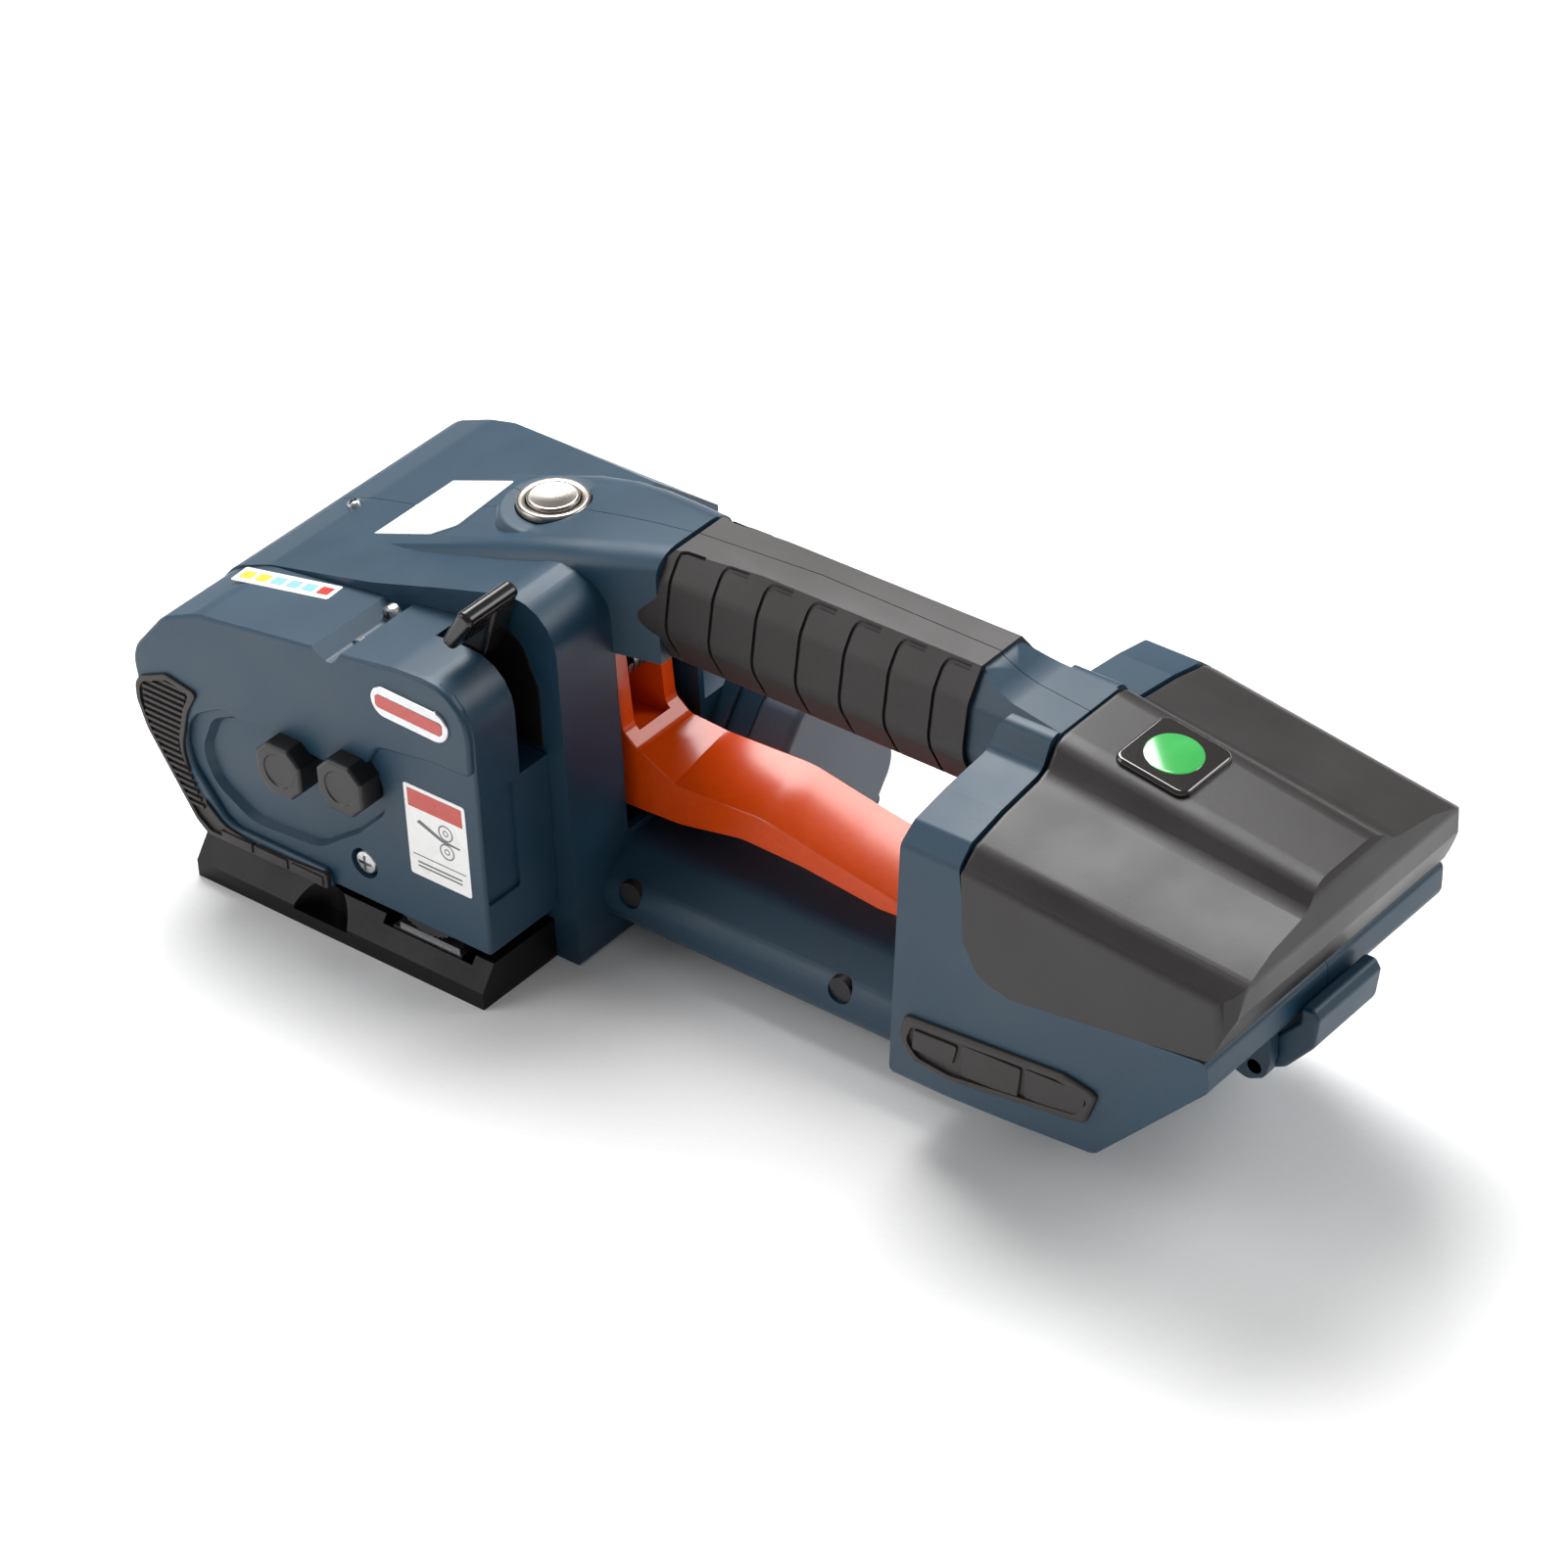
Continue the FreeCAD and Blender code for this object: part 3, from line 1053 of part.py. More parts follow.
def start_button():
    ring = rod("button_ring", "Z", ("button_across", "grip_middle", "button_top - 2"), "button_radius", 2)
    barrel = rod("button_tube", "Z", ("button_across", "grip_middle", "button_top - 22"),
                 "button_barrel", 21)
    bore = rod("button_ring_bore", "Z", ("button_across", "grip_middle", "button_top - 8"),
               "button_cap_radius + 0.1", 10)
    node("button_bezel", cut("button_bezel_cut", fuse("button_bezel_solid", ring, barrel), bore))
    node("start_button", rod("button_cap", "Z", ("button_across", "grip_middle", "button_top - 5.5"),
                             "button_cap_radius", 6.3))
    nut = rod("button_nut_disc", "Z", ("button_across", "grip_middle", "button_top - 18"),
              "button_radius + 2", 3)
    nut_bore = rod("button_nut_bore", "Z", ("button_across", "grip_middle", "button_top - 19"),
                   "button_barrel", 5)
    node("button_nut", cut("button_nut_cut", nut, nut_bore))


def knob(label, word, pot_label):
    along_x = word + "_knob_along"
    height = word + "_knob_height"
    radius = "knob_radius"
    side = "knob_radius * 0.46"
    corners = []
    for x_sign, z_sign, wide in ((1, -1, False), (1, -1, True), (1, 1, True), (1, 1, False),
                                 (-1, 1, False), (-1, 1, True), (-1, -1, True), (-1, -1, False)):
        x_part = radius if wide else side
        z_part = side if wide else radius
        corners.append(("%s + %d * %s" % (along_x, x_sign, x_part),
                        "%s + %d * %s" % (height, z_sign, z_part)))
    cap = slab(label + "_cap", "XZ", corners, "knob_front", "recess_floor - seat_gap")
    stem = rod(label + "_stem", "Y", (along_x, "recess_floor - seat_gap - 1", height), 3, 5)
    node(label, fuse(label + "_solid", cap, stem))
    pot = rod(pot_label + "_can", "Y", (along_x, "recess_floor + 2", height), 8, 7)
    pot_bore = rod(pot_label + "_bore", "Y", (along_x, "recess_floor + 1", height), "3 + fit_gap", 5)
    node(pot_label, cut(pot_label + "_cut", pot, pot_bore))


def control_board():
    board = block("board_plate", (-44, 30), (8, 72), (76, 77.6))
    parts = [block("board_part_%d" % k, (x, x + dx), (y, y + dy), (77.6, 77.6 + dz))
             for k, (x, y, dx, dy, dz) in enumerate(((-40, 14, 10, 8, 3), (-24, 20, 14, 14, 2),
                                                     (-2, 46, 12, 12, 5), (14, 40, 8, 16, 4)))]
    node("control_board", fuse("board_solid", board, *parts))


def lever_switch():
    body = block("lever_switch_body", (28, 40), (HEAD_INNER + " + 6.5", HEAD_INNER + " + 12"), (54, 62))
    node("lever_switch", body)


# ---------------------------------------------------------------- battery and dock contents

def battery_section(name, x, drop, narrow, low):
    """One cross-section of the battery at x, lower by drop and narrower by narrow than the dock's crest."""
    half = [("crest_half - 0.3 * %s" % narrow, "crest_top - %s" % drop),
            ("valley_half - 0.3 * %s" % narrow, "valley_top - 0.75 * %s" % drop),
            ("shoulder_half - 0.6 * %s" % narrow, "shoulder_top - 0.75 * %s" % drop),
            ("edge_half - %s" % narrow, "edge_top - 0.8 * %s" % drop),
            ("(grip_middle - dock_near) - %s" % narrow, "side_top - 0.8 * %s" % drop)]
    right = [("grip_middle + " + y, z) for y, z in half]
    left = [("grip_middle - (%s)" % y, z) for y, z in reversed(half)]
    corners = [(DOCK_FAR + " - %s" % narrow,
                low)] + right[::-1] + left[::-1] + [("dock_near + %s" % narrow, low)]
    return outline(name, "YZ", corners, x)


def battery():
    start = battery_section("battery_front", "dock_seam + seat_gap", "0", "0", 50)
    finish = battery_section("battery_back", "battery_rear + 6", "13", "3", 50)
    loft = add("Part::Loft", "battery_loft")
    loft.Sections = [start, finish]
    loft.Solid = True
    loft.Ruled = True
    gap = "seat_gap"
    side = [("dock_seam + " + gap, "dock_floor + 13"),
            ("dock_seam + 4 + " + gap, "dock_floor + 4 + " + gap),
            ("dock_seam + 13 + " + gap, "dock_floor + 1.2 + " + gap),
            ("dock_rear", "dock_floor + seam_rise + " + gap), ("battery_rear - 1",
                                                               80), ("battery_rear + 0.5", 88),
            ("battery_rear - 2", 94), ("battery_rear - 9", "crest_top - 9"), ("battery_rear - 12", 112),
            ("dock_seam + " + gap, 112)]
    view = slab("battery_side_view", "XZ", side, "dock_near - 5", DOCK_FAR + " + 5")
    form = overlap("battery_form", loft, view)
    room = block("battery_room", ("dock_seam + wall + 1", "dock_seam + wall + 1 + cell_length"),
                 ("dock_near + 7", DOCK_FAR + " - 7"), ("dock_floor + seam_rise + 3",
                                                        "dock_floor + seam_rise + 23"))
    split = "dock_floor + seam_rise + 6"
    roof = block("battery_roof_room", ("dock_seam + wall + 1", "battery_rear - 24"),
                 ("dock_near + 12", DOCK_FAR + " - 12"), ("dock_floor + seam_rise + 20",
                                                          "dock_floor + seam_rise + 26"))
    shell = cut("battery_shell", form, room, roof)
    top = block("battery_top_side", (180, 290), (-40, 110), (split, 130))
    low = block("battery_low_side", (180, 290), (-40, 110), (40, split))
    socket = block("battery_socket", ("dock_seam - 1", "dock_seam + wall + 2"),
                   ("grip_middle - 15", "grip_middle + 15"), ("dock_floor + 13", "dock_floor + 25"))
    node("battery_case_upper", cut("battery_upper_cut", overlap("battery_upper", shell, top), socket))
    node("battery_case_lower", cut("battery_lower_cut", overlap("battery_lower", shell, low), socket))
    pitch = "(2 * cell_radius + 0.6)"
    cells = [rod("battery_cell_%d" % k, "X",
                 ("dock_seam + wall + 1", "grip_middle + %s * %s" % (k - 1.5, pitch),
                                              "dock_floor + seam_rise + 3.4 + cell_radius"),
                 "cell_radius", "cell_length") for k in range(4)]
    node("battery_cells", group("battery_cell_set", cells))


def dock_contents():
    holder = block("terminal_block", ("dock_seam - wall - 8", "dock_seam - wall - 1"),
                   ("grip_middle - 15", "grip_middle + 15"), ("dock_floor + 12.5", "dock_floor + 25.5"))
    blades = [block("terminal_blade_%d" % k, ("dock_seam - wall - 2", "dock_seam + 2.5"),
                    ("grip_middle + %d" % (k - 1), "grip_middle + %d" % k), ("dock_floor + 15",
                                                                             "dock_floor + 23"))
              for k in (-9, 0, 9)]
    node("battery_terminal", fuse("terminal_solid", holder, *blades))
    tongue = slab("latch_tongue", "XZ", [("dock_rear - 13.5", "dock_floor - 17.8"),
                                         ("dock_rear + 1.2", "dock_floor - 2.5"),
                                         ("dock_rear + 1.4", "dock_floor + 2"), ("dock_rear + 5",
                                                                                 "dock_floor + 2"),
                                         ("dock_rear + 6.5", "dock_floor - 0.5"), ("dock_rear + 5",
                                                                                   "dock_floor - 9"),
                                         ("dock_rear - 3", "dock_floor - 18"), ("dock_rear - 10",
                                                                                "dock_floor - 21.5")],
                  "grip_middle - latch_half", "grip_middle + latch_half")
    hole = rod("latch_hole", "Y", ("dock_rear - 9", 0, "dock_floor - 18"), "latch_pin + fit_gap", 80)
    node("battery_latch", cut("latch_cut", tongue, hole))


LEAD_POINTS = [(179, 30, 72), (174, 23, 50), (169.5, 18.5, 32), (165.8, 17, 21.5), (154, 16, 14),
               (134, 15, 12), (98, 19, 12.6), (66, 15, 12.2), (53.8, 14, 12.6), (52.3, 13, 20),
               (52.3, 12, 50), (50, 11.5, 68), (37, 11.5, 79.3), (28, 12, 79.7)]


def lead_tube(name, radius):
    """A tube along the lead's route: straight runs joined by arcs that touch them."""
    points = [Vector(*point) for point in LEAD_POINTS]
    edges = []
    previous = points[0]
    for k in range(1, len(points) - 1):
        before = points[k] - points[k - 1]
        after = points[k + 1] - points[k]
        trim = min(0.42 * min(before.Length, after.Length), 5)
        bend = before.getAngle(after)
        start = points[k] - before.normalize() * trim
        finish = points[k] + after.normalize() * trim
        middle = (start + finish) * 0.5
        rise = trim / math.tan(bend / 2) * (1 - math.cos(bend / 2))
        through = middle + (points[k] - middle).normalize() * rise
        edges.append(Part.LineSegment(previous, start).toShape())
        edges.append(Part.Arc(start, through, finish).toShape())
        previous = finish
    edges.append(Part.LineSegment(previous, points[-1]).toShape())
    ring = Part.Wire(Part.makeCircle(radius, points[0], points[1] - points[0]))
    tube = add("Part::Feature", name)
    tube.Shape = Part.Wire(edges).makePipeShell([ring], True, False)
    return tube


def build():
    base_plate()
    gearbox_frame()
    side_cover()
    housing_halves()
    motor_housing()
    grips()
    bumpers()
    motor()
    bevel_pair()
    gearhead()
    tension_wheel()
    belt_drive()
    rocker()
    weld_parts()
    weld_lever()
    release_lever()
    release_spring()
    pivot_pins()
    start_button()
    knob("tension_knob", "tension", "tension_sensor")
    knob("weld_time_knob", "time", "weld_time_sensor")
    control_board()
    lever_switch()
    battery()
    dock_contents()
    node("power_lead", lead_tube("power_lead_tube", size("lead_radius")))
    build_screws()
    doc.recompute()


def write_parts():
    """Checks every object and sub-part, then writes one file per sub-part."""
    broken = [item.Name for item in doc.Objects if "Invalid" in item.State or "Error" in item.State]
    if broken:
        raise RuntimeError("failed objects: " + ", ".join(broken))
    for label, item in NODES.items():
        if item.Shape.isNull() or not item.Shape.isValid() or not item.Shape.Solids:
            raise RuntimeError("bad shape: " + label)
    os.makedirs("parts", exist_ok=True)
    for label, item in NODES.items():
        item.Shape.exportStep(os.path.join("parts", label + ".step"))
        print("%-22s %d solid(s) %10.0f mm3" % (label, len(item.Shape.Solids), item.Shape.Volume))
    print(len(NODES), "sub-parts")


build()
write_parts()
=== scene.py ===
"""Battery strapping tool: its visible shells, levers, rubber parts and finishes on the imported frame."""
import json
import logging
import math
from collections.abc import Callable, Sequence
from dataclasses import dataclass
from enum import Enum

import bmesh
import bpy
from mathutils import Matrix, Vector


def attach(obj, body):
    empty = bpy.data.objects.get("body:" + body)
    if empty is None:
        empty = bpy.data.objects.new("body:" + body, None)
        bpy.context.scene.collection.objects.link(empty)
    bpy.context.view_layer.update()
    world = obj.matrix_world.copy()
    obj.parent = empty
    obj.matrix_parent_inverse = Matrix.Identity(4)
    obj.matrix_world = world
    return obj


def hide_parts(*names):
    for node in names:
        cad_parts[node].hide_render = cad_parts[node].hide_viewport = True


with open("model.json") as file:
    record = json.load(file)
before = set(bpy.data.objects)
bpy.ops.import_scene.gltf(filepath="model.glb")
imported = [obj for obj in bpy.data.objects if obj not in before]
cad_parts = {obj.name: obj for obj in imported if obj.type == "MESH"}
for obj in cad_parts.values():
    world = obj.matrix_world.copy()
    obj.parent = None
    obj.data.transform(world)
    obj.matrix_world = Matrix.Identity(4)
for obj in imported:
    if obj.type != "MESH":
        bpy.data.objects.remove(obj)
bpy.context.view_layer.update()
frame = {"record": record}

LOG = logging.getLogger("strapping_tool")
MM = 0.001
FINE = 1e-4

Corner = Sequence[float]
EdgeTest = Callable[[bmesh.types.BMEdge], bool]


# ------------------------------------------------------------------ forms

class View(Enum):
    """The direction an outline is drawn from; its value is the axis that the outline is pushed along."""

    SIDE = 1
    END = 0
    PLAN = 2

    def point(self, across: float, up: float, depth: float) -> Vector:
        """The point in space of an outline corner at a depth.

        Args:
            across: The corner's first number.
            up: The corner's second number.
            depth: Its place on the pushed axis.

        Returns:
            The point.
        """
        values = [across, up]
        values.insert(self.value, depth)
        return Vector(values)


class Mix(Enum):
    """The ways two solids are put together."""

    JOIN = "UNION"
    CUT = "DIFFERENCE"
    COMMON = "INTERSECT"


class Form:
    """A closed solid in millimetres, shaped step by step."""

    def __init__(self, bm: bmesh.types.BMesh | None = None) -> None:
        """Starts from a bmesh, or from nothing."""
        self.bm = bm or bmesh.new()

    @classmethod
    def prism(cls, view: View, corners: Sequence[Corner], low: float, high: float,
              segments: int = 5) -> "Form":
        """Pushes an outline from one depth to another.

        Args:
            view: The direction the outline is drawn from.
            corners: Across, up and, where the corner is round, its radius.
            low: The depth of the outline.
            high: The depth of its copy.
            segments: The steps in a round corner.

        Returns:
            The closed solid.
        """
        form = cls()
        bm = form.bm
        verts = [bm.verts.new(view.point(corner[0], corner[1], low)) for corner in corners]
        bm.faces.new(verts)
        count = len(corners)
        for k, corner in enumerate(corners):
            if len(corner) < 3:
                continue
            here = Vector(corner[:2])
            before = Vector(corners[k - 1][:2]) - here
            after = Vector(corners[(k + 1) % count][:2]) - here
            reach = corner[2] / math.tan(before.angle(after) / 2)
            bmesh.ops.bevel(bm, geom=[verts[k]], offset=reach, segments=segments, profile=0.5,
                            affect="VERTICES", material=-1)
        pushed = bmesh.ops.extrude_face_region(bm, geom=bm.faces[:])
        shift = view.point(0, 0, high - low)
        bmesh.ops.translate(bm, vec=shift,
                            verts=[v for v in pushed["geom"] if isinstance(v, bmesh.types.BMVert)])
        bmesh.ops.recalc_face_normals(bm, faces=bm.faces[:])
        return form

    @classmethod
    def box(cls, across: Corner, deep: Corner, tall: Corner) -> "Form":
        """A block between two limits on each axis.

        Args:
            across: Its limits along X.
            deep: Its limits along Y.
            tall: Its limits along Z.

        Returns:
            The block.
        """
        form = cls()
        made = bmesh.ops.create_cube(form.bm, size=1)
        bmesh.ops.scale(form.bm, vec=(across[1] - across[0], deep[1] - deep[0], tall[1] - tall[0]),
                        verts=made["verts"])
        middle = Vector((sum(across), sum(deep), sum(tall))) / 2
        bmesh.ops.translate(form.bm, vec=middle, verts=made["verts"])
        return form

    @classmethod
    def turned(cls, profile: Sequence[Corner], centre: Sequence[float], axis: View,
               steps: int = 48) -> "Form":
        """Spins a profile of radius and height round an axis.

        Args:
            profile: Radius and height pairs, from one end on the axis to the other.
            centre: The point that height zero stands for.
            axis: The axis the profile turns round.
            steps: The steps in a full turn.

        Returns:
            The closed solid of revolution.
        """
        form = cls()
        bm = form.bm
        verts = [bm.verts.new((radius, 0, height)) for radius, height in profile]
        edges = [bm.edges.new(pair) for pair in zip(verts, verts[1:])]
        bmesh.ops.spin(bm, geom=verts + edges, axis=(0, 0, 1), cent=(0, 0, 0), angle=math.tau,
                       steps=steps, use_merge=True)
        bmesh.ops.remove_doubles(bm, verts=bm.verts[:], dist=FINE)
        turn = {View.PLAN: Matrix(), View.END: Matrix.Rotation(math.pi / 2, 4, "Y"),
                View.SIDE: Matrix.Rotation(-math.pi / 2, 4, "X")}[axis]
        bmesh.ops.transform(bm, matrix=Matrix.Translation(centre) @ turn, verts=bm.verts[:])
        bmesh.ops.recalc_face_normals(bm, faces=bm.faces[:])
        return form

    @classmethod
    def rod(cls, radius: float, length: float, centre: Sequence[float], axis: View,
            steps: int = 48) -> "Form":
        """A plain round bar, for bores and stems.

        Args:
            radius: Half the bar's width.
            length: How far it runs along its axis.
            centre: The middle of its first end.
            axis: The axis it lies along.
            steps: The steps in a full turn.

        Returns:
            The closed solid.
        """
        return cls.turned([(0, 0), (radius, 0), (radius, length), (0, length)], centre, axis, steps)

    @classmethod
    def well(cls, mouth: float, seat: float, depth: float, bore: float, reach: float,
             centre: Sequence[float]) -> "Form":
        """The room of a sunk screw, open towards the near side.

        Args:
            mouth: The radius at the opening.
            seat: The radius where the screw's head sits.
            depth: How deep the seat lies.
            bore: The radius of the hole beyond the seat.
            reach: How deep the hole goes.
            centre: The middle of the opening.

        Returns:
            The closed solid.
        """
        profile = [(0, 0), (mouth, 0), (seat, depth), (bore, depth), (bore, reach), (0, reach)]
        return cls.turned(profile, centre, View.SIDE, 24)

    @classmethod
    def loft(cls, sections: Sequence[Sequence[Sequence[float]]]) -> "Form":
        """Joins closed sections with the same number of points, and closes both ends.

        Args:
            sections: The points of each section, all going round the same way.

        Returns:
            The closed solid.
        """
        form = cls()
        bm = form.bm
        loops = []
        for points in sections:
            verts = [bm.verts.new(point) for point in points]
            loops.append([bm.edges.new(pair) for pair in zip(verts, verts[1:] + verts[:1])])
        for first, second in zip(loops, loops[1:]):
            bmesh.ops.bridge_loops(bm, edges=first + second)
        bmesh.ops.holes_fill(bm, edges=loops[0] + loops[-1], sides=0)
        bmesh.ops.recalc_face_normals(bm, faces=bm.faces[:])
        return form

    def tidy(self) -> None:
        """Merges flat faces and doubled points, and leaves the form as it was if that would open it."""
        merged = self.bm.copy()
        bmesh.ops.remove_doubles(merged, verts=merged.verts[:], dist=FINE)
        bmesh.ops.dissolve_limit(merged, angle_limit=math.radians(0.4), verts=merged.verts[:],
                                 edges=merged.edges[:])
        if all(edge.is_manifold for edge in merged.edges):
            self.bm = merged

    def soften(self, width: float, test: EdgeTest, segments: int = 3) -> "Form":
        """Rounds the edges that a test picks.

        Args:
            width: How far the rounding reaches from the edge.
            test: Picks the edges.
            segments: The steps across the rounding.

        Returns:
            This form.
        """
        edges = [edge for edge in self.bm.edges if test(edge)]
        bmesh.ops.bevel(self.bm, geom=edges, offset=width, segments=segments, profile=0.5,
                        affect="EDGES", clamp_overlap=True, material=-1)
        return self

    def slice(self, point: Sequence[float], normal: Sequence[float]) -> "Form":
        """Takes off what stands beyond a plane and closes the cut.

        Args:
            point: A point of the plane.
            normal: The direction that is taken off.

        Returns:
            This form.
        """
        bm = self.bm
        cut = bmesh.ops.bisect_plane(bm, geom=bm.verts[:] + bm.edges[:] + bm.faces[:], dist=FINE,
                                     plane_co=point, plane_no=normal, clear_outer=True)
        edges = [item for item in cut["geom_cut"] if isinstance(item, bmesh.types.BMEdge)]
        bmesh.ops.holes_fill(bm, edges=edges, sides=0)
        bmesh.ops.recalc_face_normals(bm, faces=bm.faces[:])
        return self

    def moved(self, matrix: Matrix) -> "Form":
        """Turns, shifts or mirrors the whole form.

        Args:
            matrix: The change of place; a mirror turns the faces outward again.

        Returns:
            This form.
        """
        bmesh.ops.transform(self.bm, matrix=matrix, verts=self.bm.verts[:])
        if matrix.determinant() < 0:
            bmesh.ops.recalc_face_normals(self.bm, faces=self.bm.faces[:])
        return self

    def with_parts(self, *others: "Form") -> "Form":
        """Puts solids that don't meet into one form.

        Args:
            others: The solids to add.

        Returns:
            This form.
        """
        for other in others:
            mesh = bpy.data.meshes.new("part")
            other.bm.to_mesh(mesh)
            self.bm.from_mesh(mesh)
            bpy.data.meshes.remove(mesh)
        return self

    def _object(self, name: str) -> bpy.types.Object:
        """A linked object with this form's mesh.

        Args:
            name: The object's name.

        Returns:
            The object.
        """
        mesh = bpy.data.meshes.new(name)
        self.bm.to_mesh(mesh)
        obj = bpy.data.objects.new(name, mesh)
        bpy.context.scene.collection.objects.link(obj)
        return obj

    def mixed(self, mix: Mix, *others: "Form") -> "Form":
        """Joins, cuts or keeps what is common with other solids, one after another.

        Args:
            mix: What is done.
            others: The other solids.

        Returns:
            This form.
        """
        for other in others:
            first, second = self._object("first"), other._object("second")
            change = first.modifiers.new("mix", "BOOLEAN")
            change.operation = mix.value
            change.object = second
            change.solver = "MANIFOLD"
            graph = bpy.context.evaluated_depsgraph_get()
            result = bpy.data.meshes.new_from_object(first.evaluated_get(graph))
            self.bm = bmesh.new()
            self.bm.from_mesh(result)
            for item in (first, second):
                mesh = item.data
                bpy.data.objects.remove(item)
                bpy.data.meshes.remove(mesh)
            bpy.data.meshes.remove(result)
            self.tidy()
        return self

    def join(self, *others: "Form") -> "Form":
        """Fuses other solids to this one."""
        return self.mixed(Mix.JOIN, *others)

    def cut(self, *others: "Form") -> "Form":
        """Takes other solids out of this one."""
        return self.mixed(Mix.CUT, *others)

    def common(self, *others: "Form") -> "Form":
        """Keeps what is inside all solids."""
        return self.mixed(Mix.COMMON, *others)

    def copy(self) -> "Form":
        """The same solid again."""
        return Form(self.bm.copy())

    def publish(self, name: str, finish: "Finish", body: str, slot: str, stands_for: Sequence[str] = (),
                sharp: float = 32) -> bpy.types.Object:
        """Makes the form a finished piece of the model.

        Args:
            name: The piece's name.
            finish: Its surface.
            body: The body it moves with.
            slot: The record's material slot it stands for; it is not used.
            stands_for: The nodes it replaces.
            sharp: Edges that turn by more than this many degrees stay crisp.

        Returns:
            The piece's object.
        """
        bmesh.ops.scale(self.bm, vec=(MM, MM, MM), verts=self.bm.verts[:])
        obj = self._object(name)
        mesh = obj.data
        mesh.shade_smooth()
        mesh.set_sharp_from_angle(angle=math.radians(sharp))
        mesh.materials.append(finish.material())
        weights = obj.modifiers.new("weights", "WEIGHTED_NORMAL")
        weights.keep_sharp = True
        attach(obj, body)
        if stands_for:
            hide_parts(*stands_for)
        LOG.info("%s: %d faces", name, len(mesh.polygons))
        return obj


def octagon(centre: Corner, wide: float, tall: float, side: float, rounding: float) -> list[Corner]:
    """An eight-sided outline with round corners.

    Args:
        centre: Its middle, across and up.
        wide: Half its width.
        tall: Half its height.
        side: Half the length of its straight sides.
        rounding: The radius of its corners.

    Returns:
        The corners, in order.
    """
    signs = ((1, -1, 0), (1, -1, 1), (1, 1, 1), (1, 1, 0), (-1, 1, 0), (-1, 1, 1), (-1, -1, 1),
             (-1, -1, 0))
    return [(centre[0] + a * (wide if outer else side), centre[1] + b * (side if outer else tall),
             rounding) for a, b, outer in signs]


def rim(view: View, *levels: float) -> EdgeTest:
    """Picks the edges that lie at a depth of a prism.

    Args:
        view: The direction the prism was drawn from.
        levels: The depths to look at.

    Returns:
        The test.
    """
    axis = view.value

    def test(edge: bmesh.types.BMEdge) -> bool:
        """True for an edge with both ends at one of the levels."""
        return any(all(abs(v.co[axis] - level) < 0.01 for v in edge.verts) for level in levels)

    return test


def sharp_edges(degrees: float, low: float = -1e3) -> EdgeTest:
    """Picks outward edges that turn by more than an angle and lie above a height.

    Args:
        degrees: The least turn.
        low: The lowest height, in millimetres.

    Returns:
        The test.
    """

    def test(edge: bmesh.types.BMEdge) -> bool:
        """True for a crisp outward edge.

        Args:
            edge: The edge to judge.

        Returns:
            Whether it is picked.
        """
        if len(edge.link_faces) != 2 or min(v.co.z for v in edge.verts) < low:
            return False
        return edge.is_convex and edge.calc_face_angle(0) > math.radians(degrees)

    return test


# ------------------------------------------------------------------ finishes

def linear(colour: str, alpha: float = 1.0) -> tuple[float, float, float, float]:
    """The linear value of an sRGB hex colour.

    Args:
        colour: The colour as #RRGGBB.
        alpha: Its cover.

    Returns:
        Red, green, blue and alpha.
    """
    parts = [int(colour[k:k + 2], 16) / 255 for k in (1, 3, 5)]
    red, green, blue = (part / 12.92 if part < 0.04045 else ((part + 0.055) / 1.055) ** 2.4
                        for part in parts)
    return red, green, blue, alpha


def add_node(tree: bpy.types.NodeTree, kind: str, inputs: dict | None = None,
             **settings) -> bpy.types.Node:
    """Adds a node to a material.

    Args:
        tree: The material's nodes.
        kind: The node's type name, without its ShaderNode prefix.
        inputs: Values or sockets for its inputs, by name or number.
        settings: The node's own fields.

    Returns:
        The node.
    """
    node = tree.nodes.new("ShaderNode" + kind)
    for key, value in settings.items():
        setattr(node, key, value)
    for key, value in (inputs or {}).items():
        if isinstance(value, bpy.types.NodeSocket):
            tree.links.new(value, node.inputs[key])
        else:
            node.inputs[key].default_value = value
    return node


class Pattern(Enum):
    """How the fine relief of a surface runs."""

    GRAIN = "grain"
    BRUSHED = "brushed"
    SPUN = "spun"


